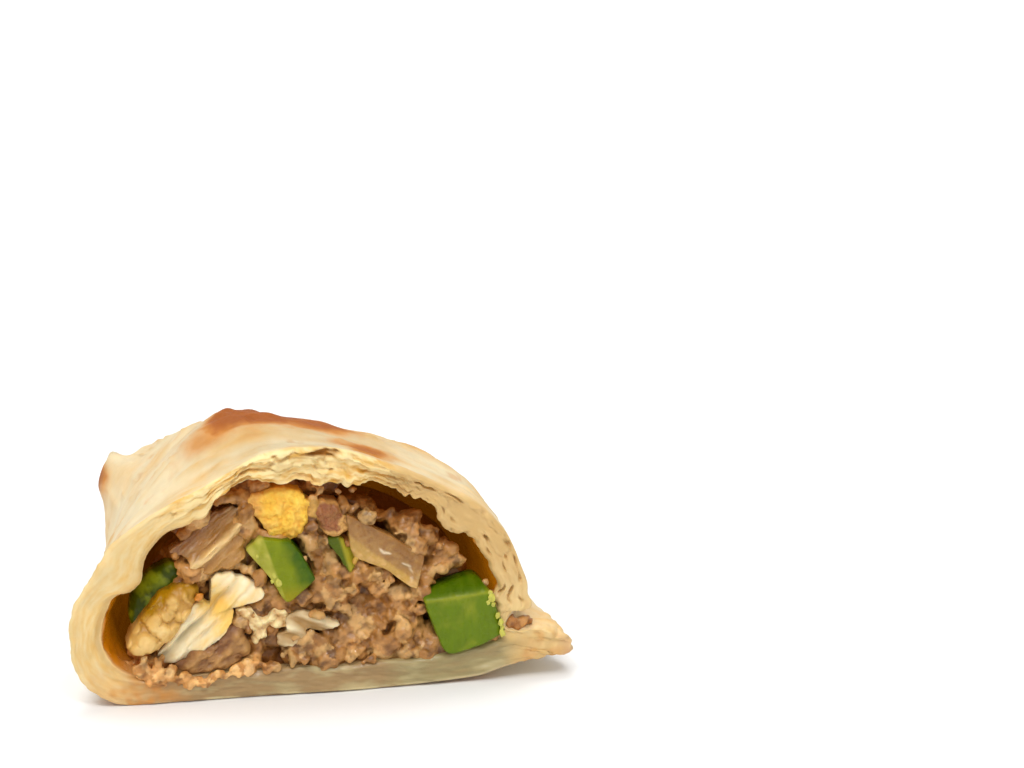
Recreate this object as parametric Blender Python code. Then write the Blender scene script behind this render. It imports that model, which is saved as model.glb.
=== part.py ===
"""Half of a baked beef empanada, cut across, resting on its underside.

Metres, +Z up. The cut face looks along -Y and the pinched tail is at the far +Y end. The fold
of the dough is on the -X side and the pressed seam on the +X side. The origin is in the middle
of the flat underside. The shapes are worked out with the cut at y = 0, and an empty then
carries them all forwards by CUT_TO_ORIGIN.

The crust is a shell lofted from the outline of the cut to the tail. The filling is a core of
minced beef with crumbs fused to its front, and every larger morsel is a solid of its own that
sits in a pocket of the filling.
"""
import math
import random

import bmesh
import bpy
from mathutils import Vector, noise

MM = 0.001

# Driving dimensions of the half, in metres
CUT_TO_ORIGIN = 20 * MM
BODY_DEPTH = 56 * MM
CUT_HEIGHT = 39.4 * MM
CRUST_WALL = 4.3 * MM
CAVITY_DEPTH = 47 * MM
CAVITY_STATIONS = (-2, 0.5, 2, 3.5, 5, 9, 14, 20, 27, 34, 41, 47)
SLIT_DEPTH = 13.2 * MM
CORE_RECESS = 5.2 * MM
CORE_DEPTH = 45 * MM
GAP = 0.32 * MM
MERGES = (0.008 * MM, 0.003 * MM, 0.001 * MM, 0.0)

# Plan of the body: where its ridge, its fold side and its seam side run from cut to tail
RIDGE_X = -0.8 * MM
FOLD_X = -35.7 * MM
SEAM_X = 41.3 * MM
TAIL_X = -22.5 * MM
TAIL_FOLD_X = -26.6 * MM
TAIL_SEAM_X = -12 * MM
TAIL_TOP = 22.5 * MM
SHOULDER = 2.4 * MM
TAIL_LIFT = 9 * MM
FLAT_LENGTH = 34 * MM
TAIL_ROUND = 0.13

# The pinched nub at the tail: a swelling of the dough, and the twisted bead at its tip
PINCH_CENTRE = Vector((-24.0 * MM, 50.0 * MM, 19.5 * MM))
PINCH_PULL = Vector((-1.8 * MM, 5.0 * MM, 2.2 * MM))
PINCH_REACH = 5.5 * MM
NUB_CENTRE = (-26.4 * MM, 53.6 * MM, 21.0 * MM)
NUB_RADII = (2.3 * MM, 3.6 * MM, 3.2 * MM)

# Outline of the crust at the cut, (x, z) in millimetres, round from the lip of the seam
CRUST_OUTLINE = [
    (41.3, 4.7), (37.6, 3.0), (33.0, 1.6), (28.0, 0.5), (22.0, 0.0), (11.0, 0.0),
    (0.0, 0.0), (-11.0, 0.0), (-20.0, 0.0), (-27.0, 0.0), (-30.6, 1.5), (-33.4, 4.6),
    (-35.3, 9.5), (-35.6, 14.5), (-33.8, 19.4), (-30.6, 24.4), (-26.5, 28.2), (-21.2, 31.3),
    (-15.9, 33.9), (-10.6, 36.6), (-6.1, 38.6), (-0.8, 39.4), (5.3, 38.8), (11.3, 36.6),
    (17.4, 33.8), (22.0, 31.4), (26.6, 28.0), (30.4, 23.0), (32.9, 17.2), (34.6, 12.2),
    (37.4, 8.4),
]

# Edge of the mouth at the cut, with the torn lobes of the upper crust
MOUTH_OUTLINE = [
    (29.7, 6.9), (25.0, 5.6), (19.0, 4.8), (12.0, 4.5), (4.0, 4.3), (-4.0, 4.4),
    (-12.0, 4.4), (-20.0, 4.2), (-26.0, 4.3), (-29.4, 5.6), (-31.5, 8.6), (-32.1, 12.0),
    (-31.0, 15.4), (-29.6, 17.6), (-27.2, 18.2), (-25.4, 20.0), (-24.7, 23.6), (-21.8, 26.8),
    (-18.4, 28.0), (-15.6, 29.6), (-13.7, 31.8), (-10.6, 33.9), (-7.0, 34.2), (-3.6, 33.8),
    (-0.7, 34.2), (2.0, 33.0), (4.6, 33.3), (7.1, 32.6), (9.6, 33.5), (12.2, 32.6),
    (15.0, 31.0), (17.4, 30.2), (19.5, 29.3), (20.6, 26.0), (22.4, 24.2), (24.6, 24.2),
    (26.8, 21.3), (28.4, 18.8), (29.3, 15.8), (29.0, 12.8), (31.2, 10.6), (31.2, 8.6),
]

# Outline of the beef core at its front, lower than the crust where a dark gap is left
CORE_OUTLINE = [
    (26.5, 5.9), (20.0, 5.3), (10.0, 4.9), (0.0, 4.9), (-10.0, 4.9), (-20.0, 4.9),
    (-26.4, 5.4), (-27.6, 9.0), (-27.4, 13.5), (-25.6, 18.0), (-22.6, 22.0), (-18.5, 25.6),
    (-14.0, 28.6), (-9.0, 31.2), (-4.0, 32.6), (1.0, 31.8), (6.0, 29.9), (11.0, 28.2),
    (16.0, 26.0), (20.0, 23.2), (23.6, 20.4), (26.0, 16.8), (27.3, 12.5), (27.6, 8.5),
]

# Section of the open slit in the seam at the cut, between the upper flap and the lip
SLIT_OUTLINE = [(26.0, 7.4), (50.0, 3.4), (50.0, 16.0), (36.0, 12.9), (31.2, 10.3)]
SLIT_END = (30.0, 8.0)

# Crumbs of beef on the front of the core
CRUMB_SEED = 41
CRUMB_PITCH = 4.7 * MM
CRUMB_RADIUS = (2.4 * MM, 3.9 * MM)
CRUMB_MARGIN = 2.6 * MM

# Base colours, roughness
CRUST_COLOUR = (0.80, 0.64, 0.41)
BEEF_COLOUR = (0.33, 0.17, 0.08)
CHUNK_COLOUR = (0.30, 0.13, 0.07)
PEPPER_COLOUR = (0.09, 0.27, 0.02)
PEPPER_PALE = (0.22, 0.35, 0.03)
PEPPER_DARK = (0.03, 0.11, 0.02)
YOLK_COLOUR = (0.90, 0.52, 0.07)
WHITE_COLOUR = (0.74, 0.64, 0.42)
OLIVE_COLOUR = (0.48, 0.34, 0.12)
ONION_COLOUR = (0.42, 0.25, 0.10)

# The morsels. outline: (x, z) in mm at the cut. front: how far the face lies behind the cut.
# depth: thickness. dome: how far the rim falls back. lean: (x, z) slopes of the face.
# lumps: height and spacing of the relief. All lengths in millimetres.
MORSELS = [
    dict(name="pepper_right", colour=PEPPER_COLOUR, front=-1.1, depth=6.6, dome=1.0, flat=0.80,
         lean=(0.03, 0.05), lumps=(0.15, 5.0),
         outline=[(17.8, 14.6), (21.8, 15.8), (25.8, 16.7), (27.8, 15.0), (29.0, 13.2),
                  (29.6, 10.4), (30.2, 7.9), (26.0, 6.3), (21.3, 5.6), (19.5, 9.2)]),
    dict(name="olive", colour=OLIVE_COLOUR, front=-0.2, depth=6.0, dome=2.2, flat=0.35,
         lean=(0.05, 0.10), lumps=(0.7, 3.2),
         outline=[(-27.6, 8.8), (-26.7, 11.4), (-24.6, 14.2), (-22.2, 16.8), (-19.4, 18.3),
                  (-16.9, 18.0), (-16.4, 16.2), (-17.8, 14.0), (-19.6, 11.4), (-22.2, 8.6),
                  (-25.6, 7.5)]),
    dict(name="pepper_centre", colour=PEPPER_PALE, front=0.8, depth=5.4, dome=0.9, flat=0.78,
         lean=(0.10, -0.06), lumps=(0.15, 5.0),
         outline=[(-8.7, 22.6), (-6.9, 24.7), (-4.0, 24.2), (-1.6, 23.6), (0.1, 21.2),
                  (1.5, 18.3), (-0.8, 16.4), (-3.3, 14.7), (-5.8, 18.2)]),
    dict(name="egg_white_left", colour=WHITE_COLOUR, front=1.2, depth=2.4, dome=0.7, flat=0.70,
         lean=(0.02, 0.04), lumps=(0.8, 5.0),
         outline=[(-7.0, 17.7), (-10.2, 19.4), (-13.4, 19.6), (-15.6, 17.6), (-17.9, 13.7),
                  (-20.4, 10.2), (-22.8, 6.6), (-18.9, 6.9), (-15.0, 9.3), (-11.6, 12.6),
                  (-9.6, 15.6)]),
    dict(name="egg_yolk", colour=YOLK_COLOUR, front=1.8, depth=6.0, dome=1.6, flat=0.45,
         lean=(0.0, 0.12), lumps=(0.7, 2.6),
         outline=[(-8.0, 30.2), (-5.1, 31.6), (-1.3, 31.4), (0.4, 29.9), (0.2, 27.4),
                  (-0.6, 25.4), (-2.8, 24.9), (-5.2, 25.3), (-7.4, 27.5)]),
    dict(name="onion_slab", colour=ONION_COLOUR, front=1.4, depth=2.4, dome=0.6, flat=0.80,
         lean=(-0.04, 0.16), lumps=(0.5, 6.0),
         outline=[(6.7, 25.6), (9.2, 27.0), (12.2, 25.6), (15.3, 23.4), (17.9, 20.6),
                  (16.8, 15.9), (13.7, 17.4), (10.6, 18.7), (8.4, 20.5), (6.9, 23.0)]),
    dict(name="beef_chunk_top", colour=CHUNK_COLOUR, front=1.4, depth=5.0, dome=1.4, flat=0.45,
         lean=(0.06, 0.10), lumps=(0.5, 2.4),
         outline=[(1.2, 29.0), (3.1, 30.4), (5.8, 29.6), (7.2, 27.6), (6.2, 25.0), (4.2, 24.4),
                  (1.8, 25.8)]),
    dict(name="pepper_small", colour=PEPPER_COLOUR, front=2.0, depth=4.0, dome=0.6, flat=0.70,
         lean=(0.0, 0.0), lumps=(0.1, 4.0),
         outline=[(3.8, 23.8), (5.8, 23.7), (7.5, 21.6), (7.9, 18.9), (6.2, 19.6),
                  (4.6, 21.6)]),
    dict(name="egg_white_centre", colour=WHITE_COLOUR, front=0.9, depth=2.6, dome=0.6, flat=0.6,
         lean=(0.04, 0.16), lumps=(0.5, 3.0),
         outline=[(-3.2, 11.4), (-0.3, 12.2), (2.0, 11.5), (4.9, 10.0), (2.7, 8.5),
                  (-0.4, 8.1), (-2.7, 9.2)]),
    dict(name="egg_white_crumb", colour=WHITE_COLOUR, front=0.6, depth=3.4, dome=1.0, flat=0.4,
         lean=(0.0, 0.10), lumps=(0.6, 2.4),
         outline=[(-10.2, 13.0), (-7.0, 14.0), (-4.2, 13.0), (-3.8, 10.9), (-5.8, 9.6),
                  (-8.9, 10.6)]),
    dict(name="beef_chunk_left", colour=CHUNK_COLOUR, front=0.3, depth=6.0, dome=1.6, flat=0.40,
         lean=(0.03, 0.12), lumps=(0.7, 3.4),
         outline=[(-20.4, 6.4), (-17.6, 8.4), (-14.0, 10.3), (-11.0, 9.7), (-9.6, 7.6),
                  (-10.8, 5.6), (-14.6, 5.2), (-18.4, 5.2)]),
    dict(name="onion_fold", colour=ONION_COLOUR, front=2.4, depth=3.6, dome=0.8, flat=0.60,
         lean=(0.05, 0.20), lumps=(0.8, 3.6),
         outline=[(-20.2, 23.6), (-17.0, 26.2), (-13.6, 28.2), (-9.8, 28.6), (-8.8, 25.8),
                  (-9.7, 22.6), (-12.4, 20.4), (-15.8, 19.8), (-18.4, 20.8)]),
    dict(name="pepper_left", colour=PEPPER_DARK, front=4.6, depth=4.0, dome=0.8, flat=0.70,
         lean=(0.0, 0.10), lumps=(0.1, 4.0),
         outline=[(-26.8, 12.0), (-25.6, 16.4), (-23.2, 19.0), (-20.4, 20.4), (-18.8, 19.0),
                  (-20.0, 16.2), (-22.6, 13.4), (-24.8, 10.6)]),
]


def clear_scene():
    for item in list(bpy.data.objects):
        bpy.data.objects.remove(item, do_unlink=True)


def make_material(name, colour, roughness):
    material = bpy.data.materials.new(name)
    material.use_nodes = True
    shader = material.node_tree.nodes["Principled BSDF"]
    shader.inputs["Base Color"].default_value = (*colour, 1.0)
    shader.inputs["Roughness"].default_value = roughness
    shader.inputs["Metallic"].default_value = 0.0
    return material


def make_object(name, mesh_data, material=None):
    """A new object from a bmesh, its faces turned outwards."""
    bmesh.ops.recalc_face_normals(mesh_data, faces=mesh_data.faces)
    mesh = bpy.data.meshes.new(name)
    mesh_data.to_mesh(mesh)
    mesh_data.free()
    thing = bpy.data.objects.new(name, mesh)
    bpy.context.scene.collection.objects.link(thing)
    if material:
        mesh.materials.append(material)
    return thing


def curve_point(before, start, end, after, share):
    """A point of the Catmull-Rom curve between start and end."""
    square = share * share
    cube = square * share
    return 0.5 * (2 * start + (end - before) * share
                  + (2 * before - 5 * start + 4 * end - after) * square
                  + (3 * start - before - 3 * end + after) * cube)


def smooth_outline(outline, steps):
    """A closed outline in millimetres as points in metres, with steps points per stretch."""
    knots = [Vector(point) * MM for point in outline]
    count = len(knots)
    points = []
    for i in range(count):
        for step in range(steps):
            points.append(curve_point(knots[i - 1], knots[i], knots[(i + 1) % count],
                                      knots[(i + 2) % count], step / steps))
    return points


def relaxed(points, rounds, swell):
    """The outline with its lobes evened out, then pushed outwards by swell."""
    count = len(points)
    for _ in range(rounds):
        points = [(points[i - 1] + 2 * points[i] + points[(i + 1) % count]) / 4
                  for i in range(count)]
    return offset_outline(points, swell)


def offset_outline(points, distance):
    """Move an outline outwards (or inwards, if negative) along its own normals."""
    count = len(points)
    area = sum(points[i - 1].x * points[i].y - points[i].x * points[i - 1].y
               for i in range(count))
    turn = 1 if area > 0 else -1
    moved = []
    for i in range(count):
        along = (points[(i + 1) % count] - points[i - 1]).normalized()
        moved.append(points[i] + Vector((along.y, -along.x)) * turn * distance)
    return moved


def ramp(value, low, high):
    return min(1.0, max(0.0, (value - low) / (high - low)))


def carry_back(point, depth):
    """Where a point (x, z) of the cut lies in the section at this depth: the body's taper."""
    t = min(1.0, max(0.0, depth / BODY_DEPTH))
    ridge = RIDGE_X + (TAIL_X - RIDGE_X) * t ** 1.15
    fold = FOLD_X + (TAIL_FOLD_X - FOLD_X) * t ** 0.6
    seam = TAIL_SEAM_X + (SEAM_X - TAIL_SEAM_X) * (1 - t * t) ** 0.75
    top = CUT_HEIGHT + (TAIL_TOP - CUT_HEIGHT) * t ** 2.6 + 1.0 * MM * math.sin(math.pi * t)
    lift = TAIL_LIFT * ramp(depth, FLAT_LENGTH, BODY_DEPTH) ** 1.6
    if point.x < RIDGE_X:
        x = ridge + (point.x - RIDGE_X) * (fold - ridge) / (FOLD_X - RIDGE_X)
    else:
        x = ridge + (point.x - RIDGE_X) * (seam - ridge) / (SEAM_X - RIDGE_X)
    z = lift + point.y * (top - lift) / CUT_HEIGHT
    fuller = ramp(point.x, 3 * MM, 20 * MM) - 0.6 * ramp(-point.x, 6 * MM, 18 * MM)
    fuller *= ramp(point.y, 8 * MM, 20 * MM)
    z += SHOULDER * fuller * math.sin(math.pi * ramp(t, 0.0, 0.75))
    rounding = math.sqrt(max(0.0, 1 - ramp(t, 1 - TAIL_ROUND, 1.0) ** 2))
    middle = Vector((TAIL_X, (TAIL_TOP + TAIL_LIFT) / 2))
    return middle + (Vector((x, z)) - middle) * max(rounding, 0.22)


def pull_tail(solid):
    """Draw the dough out towards the pinched nub."""
    for vert in solid.verts:
        distance = (vert.co - PINCH_CENTRE).length
        vert.co += PINCH_PULL * math.exp(-(distance / PINCH_REACH) ** 2)


def loft(name, sections, material=None, reshape=None):
    """A closed solid through sections, each a depth and a ring of (x, z) points."""
    solid = bmesh.new()
    rings = [[solid.verts.new((point.x, depth, point.y)) for point in ring]
             for depth, ring in sections]
    count = len(rings[0])
    for near, far in zip(rings, rings[1:]):
        for i in range(count):
            solid.faces.new((near[i - 1], near[i], far[i], far[i - 1]))
    for ring, end in ((rings[0], 0), (rings[-1], -1)):
        middle = sum((vert.co for vert in ring), Vector()) / count
        centre = solid.verts.new(middle)
        for i in range(count):
            solid.faces.new((ring[i - 1], ring[i], centre))
    if reshape:
        reshape(solid)
    return make_object(name, solid, material)


def ball(name, centre, radii, seed, lumps=0.22, subdivisions=2, material=None):
    """A lumpy ball."""
    solid = bmesh.new()
    bmesh.ops.create_icosphere(solid, subdivisions=subdivisions, radius=1.0)
    for vert in solid.verts:
        wave = noise.noise(vert.co * 1.6 + Vector((seed, 2.3 * seed, 0.7 * seed)))
        vert.co *= 1 + lumps * wave
        vert.co = Vector(centre) + Vector((vert.co[i] * radii[i] for i in range(3)))
    return make_object(name, solid, material)


def largest_part(mesh_data):
    """Delete every loose scrap of a mesh but the part with the most faces."""
    left = set(mesh_data.verts)
    parts = []
    while left:
        stack = [left.pop()]
        part = set(stack)
        while stack:
            vert = stack.pop()
            for edge in vert.link_edges:
                other = edge.other_vert(vert)
                if other in left:
                    left.discard(other)
                    part.add(other)
                    stack.append(other)
        parts.append(part)
    parts.sort(key=len)
    for part in parts[:-1]:
        bmesh.ops.delete(mesh_data, geom=list(part), context="VERTS")


def combine(target, others, operation):
    """Apply one Boolean with a collection of objects, then remove those objects."""
    group = bpy.data.collections.new("tools_of_" + target.name)
    for other in others:
        group.objects.link(other)
    change = target.modifiers.new("combine", "BOOLEAN")
    change.operation = operation
    change.operand_type = "COLLECTION"
    change.collection = group
    change.solver = "EXACT"
    bpy.context.view_layer.update()
    result = target.evaluated_get(bpy.context.evaluated_depsgraph_get())
    raw = bpy.data.meshes.new_from_object(result)
    target.modifiers.clear()
    for other in others:
        bpy.data.objects.remove(other, do_unlink=True)
    bpy.data.collections.remove(group)
    for distance in MERGES:
        solid = bmesh.new()
        solid.from_mesh(raw)
        bmesh.ops.remove_doubles(solid, verts=solid.verts, dist=distance)
        bmesh.ops.triangulate(solid, faces=solid.faces)
        largest_part(solid)
        closed = all(len(edge.link_faces) == 2 for edge in solid.edges)
        solid.to_mesh(target.data)
        solid.free()
        if closed:
            break
    bpy.data.meshes.remove(raw)


def enlarged(source, distance):
    """A copy of a solid, grown evenly by distance: the tool that cuts its pocket."""
    solid = bmesh.new()
    solid.from_mesh(source.data)
    solid.normal_update()
    moves = [vert.normal * distance * min(vert.calc_shell_factor(), 1.6)
             for vert in solid.verts]
    for vert, move in zip(solid.verts, moves):
        vert.co += move
    return make_object(source.name + "_pocket", solid)


def crust_depths():
    """Depths of the crust's sections, closer together towards the round tail."""
    even = [0, 3, 7, 12, 17, 22, 27, 32, 37, 41.5, 45.5]
    tail = [48.5, 51, 53, 54.5, 55.4, 56]
    return [depth * MM for depth in even + tail]


def crust_section(depth):
    """The outer section at a depth, with the soft creases that run round the dough."""
    ring = []
    for point in smooth_outline(CRUST_OUTLINE, 2):
        place = carry_back(point, depth)
        side = ramp(place.y, 2 * MM, 8 * MM) * ramp(depth, 0, 6 * MM)
        side *= ramp(BODY_DEPTH - depth, 2 * MM, 10 * MM)
        crease = math.sin(depth / (9 * MM) * 2 * math.pi + 40 * point.x)
        wave = noise.noise(Vector((place.x, depth, place.y)) * 55)
        outwards = (place - Vector((TAIL_X * depth / BODY_DEPTH, 14 * MM))).normalized()
        place = place + outwards * side * (0.35 * crease + 0.9 * wave) * MM
        ring.append(Vector((place.x, max(place.y, 0.0))))
    return ring


def cavity_section(depth, inset):
    """The hollow's section: ragged at the mouth, smooth behind it, a wall's width inside."""
    ragged = smooth_outline(MOUTH_OUTLINE, 1)
    smooth = relaxed(ragged, 12, 0.9 * MM)
    share = ramp(depth, 0.5 * MM, 5 * MM)
    ring = [start.lerp(end, share) for start, end in zip(ragged, smooth)]
    ring = offset_outline(ring, -inset)
    placed = [carry_back(point, depth * 1.06) for point in ring]
    thicken = CRUST_WALL * ramp(depth, 8 * MM, CAVITY_DEPTH)
    middle = sum(placed, Vector((0, 0))) / len(placed)
    shrink = 1 - thicken * 1.1 / (16 * MM) * ramp(depth, 8 * MM, CAVITY_DEPTH)
    return [middle + (point - middle) * shrink for point in placed]


def cavity(name, inset):
    """The hollow as a solid, from a little before the cut to its closed end."""
    depths = [depth * MM for depth in CAVITY_STATIONS]
    sections = [(depth - inset * (depth == depths[-1]), cavity_section(max(depth, 0.0), inset))
                for depth in depths]
    return loft(name, sections)


def slit():
    """The wedge that opens the seam between the upper flap and the lip, closing inwards."""
    near = [Vector(point) * MM for point in SLIT_OUTLINE]
    end = Vector(SLIT_END) * MM
    sections = []
    for depth in (-1 * MM, 4 * MM, 9 * MM, SLIT_DEPTH):
        share = ramp(depth, 0, SLIT_DEPTH)
        height = 1 - 0.75 * share
        sections.append((depth, [Vector((point.x - 4 * MM * share,
                                         end.y + (point.y - end.y) * height))
                                 for point in near]))
    return loft("slit", sections)


def crust():
    """The baked dough: one shell with its mouth at the cut and a pinched nub at the tail."""
    dough = make_material("crust", CRUST_COLOUR, 0.55)
    depths = crust_depths()
    sections = [(depth, crust_section(depth)) for depth in depths]
    shell = loft("crust", sections, dough, pull_tail)
    combine(shell, [ball("nub", NUB_CENTRE, NUB_RADII, 3, 0.15)], "UNION")
    hollow = cavity("hollow", 0.0)
    combine(shell, [hollow, slit()], "DIFFERENCE")
    return shell


def morsel(name, outline, front, depth, dome, flat, lean, lumps, colour):
    """A piece of food from its outline in the cut: a domed face, a rim and a domed back."""
    ring = smooth_outline(outline, 2)
    middle = sum(ring, Vector((0, 0))) / len(ring)
    height, spacing = lumps
    solid = bmesh.new()

    def place(point, share, side):
        fall = dome * ramp(share, flat, 1.0) ** 2
        y = front + fall if side < 0 else front + depth - fall
        y += lean[0] * (point.x - middle.x) / MM + lean[1] * (point.y - middle.y) / MM
        wave = noise.noise(Vector((point.x, side * 0.004 + y * MM, point.y)) / (spacing * MM))
        y += height * wave
        return Vector((point.x, y * MM, point.y))

    shares = [1.0, (1.0 + flat) / 2, flat, flat * 0.55]
    rings = []
    for side, order in ((-1, list(reversed(shares))), (1, shares)):
        for share in order:
            inner = 1.0 if share == 1.0 else 0.25 + 0.72 * share
            rings.append([solid.verts.new(place(middle + (point - middle) * inner, share, side))
                          for point in ring])
    count = len(ring)
    for near, far in zip(rings, rings[1:]):
        for i in range(count):
            solid.faces.new((near[i - 1], near[i], far[i], far[i - 1]))
    for end, side in ((rings[0], -1), (rings[-1], 1)):
        centre = solid.verts.new(place(middle, 0.0, side))
        for i in range(count):
            solid.faces.new((end[i - 1], end[i], centre))
    bmesh.ops.triangulate(solid, faces=solid.faces)
    return make_object(name, solid, make_material(name, colour, 0.4))


def inside(point, outline):
    """Whether a point lies in a closed outline."""
    crossings = False
    for start, end in zip(outline, outline[1:] + outline[:1]):
        if (start.y > point.y) != (end.y > point.y):
            reach = start.x + (point.y - start.y) * (end.x - start.x) / (end.y - start.y)
            crossings ^= point.x < reach
    return crossings


def crumbs():
    """Crumbs of minced beef, on a jittered grid over the front of the core."""
    draw = random.Random(CRUMB_SEED)
    outline = smooth_outline(CORE_OUTLINE, 1)
    area = offset_outline(outline, -CRUMB_MARGIN)
    covered = [offset_outline(smooth_outline(item["outline"], 1), -1.2 * MM)
               for item in MORSELS]
    made = []
    rows = int(32 * MM / CRUMB_PITCH) + 1
    columns = int(60 * MM / CRUMB_PITCH) + 1
    for row in range(rows):
        for column in range(columns):
            x = -28 * MM + (column + 0.5 * (row % 2)) * CRUMB_PITCH
            z = 6 * MM + row * CRUMB_PITCH
            spot = Vector((x + draw.uniform(-1.3, 1.3) * MM, z + draw.uniform(-1.3, 1.3) * MM))
            radius = draw.uniform(*CRUMB_RADIUS)
            recess = draw.uniform(0.0, 1.8) * MM
            if not inside(spot, area) or any(inside(spot, shape) for shape in covered):
                continue
            centre = (spot.x, 1.0 * MM + radius + recess, spot.y)
            radii = (radius * draw.uniform(0.9, 1.25), radius * 1.1, radius * 0.95)
            made.append(ball("crumb", centre, radii, len(made) + 1, 0.5, 1))
    return made


def filling(pieces):
    """The minced beef: a core through the food, crumbs on its front, a pocket per morsel."""
    beef = make_material("filling", BEEF_COLOUR, 0.45)
    outline = smooth_outline(CORE_OUTLINE, 2)
    depths = [CORE_RECESS + (CORE_DEPTH - CORE_RECESS) * i / 6 for i in range(7)]
    sections = []
    for depth in depths:
        placed = [carry_back(point, depth * 1.06) for point in outline]
        middle = sum(placed, Vector((0, 0))) / len(placed)
        sections.append((depth, [middle + (point - middle) * 0.99 for point in placed]))
    core = loft("filling", sections, beef)
    combine(core, crumbs(), "UNION")
    room = cavity("room", GAP * 1.25)
    combine(core, [room], "INTERSECT")
    combine(core, [enlarged(piece, GAP) for piece in pieces], "DIFFERENCE")
    return core


def main():
    clear_scene()
    shell = crust()
    pieces = [morsel(**item) for item in MORSELS]
    for piece in pieces:
        combine(piece, [cavity("room", GAP * 1.25)], "INTERSECT")
    beef = filling(pieces)
    for i in range(len(pieces) - 1, 0, -1):
        combine(pieces[i], [enlarged(piece, GAP) for piece in pieces[:i]], "DIFFERENCE")
    stand = bpy.data.objects.new("stand", None)
    stand.location = (0, -CUT_TO_ORIGIN, 0)
    bpy.context.scene.collection.objects.link(stand)
    for part in [shell, beef] + pieces:
        part.parent = stand


main()
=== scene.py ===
import math

import bmesh
import bpy
import numpy as np
from mathutils import Euler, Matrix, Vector
from mathutils.kdtree import KDTree


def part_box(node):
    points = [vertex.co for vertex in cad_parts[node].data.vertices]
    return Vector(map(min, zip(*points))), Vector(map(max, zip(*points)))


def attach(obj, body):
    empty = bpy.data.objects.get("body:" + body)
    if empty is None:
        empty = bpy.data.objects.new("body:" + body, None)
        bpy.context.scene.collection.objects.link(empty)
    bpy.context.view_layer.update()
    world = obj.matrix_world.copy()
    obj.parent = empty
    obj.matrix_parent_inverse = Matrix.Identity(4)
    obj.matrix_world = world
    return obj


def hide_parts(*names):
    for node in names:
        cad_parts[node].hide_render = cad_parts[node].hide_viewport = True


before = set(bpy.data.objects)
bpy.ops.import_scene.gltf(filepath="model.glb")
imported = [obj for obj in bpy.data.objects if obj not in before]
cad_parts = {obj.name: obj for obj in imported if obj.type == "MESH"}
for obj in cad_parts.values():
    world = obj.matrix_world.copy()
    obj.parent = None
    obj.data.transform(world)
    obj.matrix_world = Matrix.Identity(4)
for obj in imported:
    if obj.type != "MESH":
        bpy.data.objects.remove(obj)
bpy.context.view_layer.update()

# Lengths are in millimetres and turned into metres when a mesh is made. Shapes are worked out
# with the cut at y = 0, as the crust's own outline was, and shifted to the frame by CUT_SHIFT.
MM = 0.001
CUT_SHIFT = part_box("crust")[0].y / MM

# Camera: its direction, lens and distance, and where the foot of the cut lies in the picture
PICTURE = (1024, 768)
CUT_FOOT_PIXEL = (310, 694)
AZIMUTH = 11
ELEVATION = 15
LENS = 100
SENSOR = 36
DISTANCE = 437

# The crust, from the same named sizes as the solid
BODY_DEPTH = 56
CUT_HEIGHT = 39.4
CRUST_WALL = 4.3
CAVITY_DEPTH = 47
SLIT_DEPTH = 13.2
RIDGE_X = -0.8
FOLD_X = -35.7
SEAM_X = 41.3
TAIL_X = -22.5
TAIL_FOLD_X = -26.6
TAIL_SEAM_X = -12
TAIL_TOP = 22.5
TAIL_LIFT = 9
SHOULDER = 2.4
CROWN = 2
HUMP = 4.5
HUMP_X = -16
HUMP_AT = 0.3
RISE = 1.4
FLAT_LENGTH = 34
TAIL_ROUND = 0.13
# The pinched tail: centres, pulls and reaches
PINCHES = [
    ((-24, 50, 19.5), (-1.8, 5, 2.2), 5.5), ((-26.6, 49.5, 23.6), (-1.2, 0.3, 2.4), 2),
    ((-27.6, 50, 18.4), (-2, 0.4, -0.4), 2), ((-23.6, 46.5, 26.6), (0.2, 0, -1.4), 1.6),
    ((-25.7, 51.4, 20.8), (-0.4, 0, 2.3), 2.3), ((-22.8, 51.5, 24.2), (0, 0, -1.3), 1.7),
    ((-16.2, 40, 31), (0, 0, 1.2), 5.5), ((-13.5, 30, 35.5), (0, 0, 1), 7),
    ((-9, 21.5, 39.5), (0, 0, 0.8), 6), ((4.2, 17, 38.4), (0, 0, 0.7), 3.2),
]

# Outline of the crust at the cut, (x, z), with the seam's slit as a notch between the upper
# flap and the lip, and where the notch's points go behind the slit, where the seam is shut
CRUST_OUTLINE = [
    (40.5, 4), (38, 3.1), (34.4, 3.2), (30.6, 2), (25, 0.7), (11, 0), (0, 0), (-11, 0), (-20, 0),
    (-27.7, 0), (-31.9, 1.5), (-34.6, 4.8), (-36.1, 9.5), (-35.9, 14.5), (-33.8, 19.4), (-30.6, 24.4),
    (-26.5, 28.2), (-21.2, 31.3), (-15.9, 33.9), (-10.6, 36.6), (-6.1, 38.6), (-0.8, 39.4), (5.3, 38.8),
    (11.3, 36.6), (17.4, 33.8), (22, 31.4), (26.9, 28.4), (31.2, 23.4), (33.6, 17.4), (34.5, 13.2),
    (33.7, 11.2), (32.6, 12.2), (31.6, 10.8), (30.7, 8.7), (34, 7.7), (38.2, 7.6), (40, 6.3),
]
SEAM_SHUT = {29: (34.8, 13.6), 30: (35.6, 12.9), 31: (36.4, 12.2), 32: (37.2, 11.4),
             33: (38.2, 10.4), 34: (39.2, 9.2), 35: (39.8, 7.7), 36: (40, 6.3)}

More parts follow.
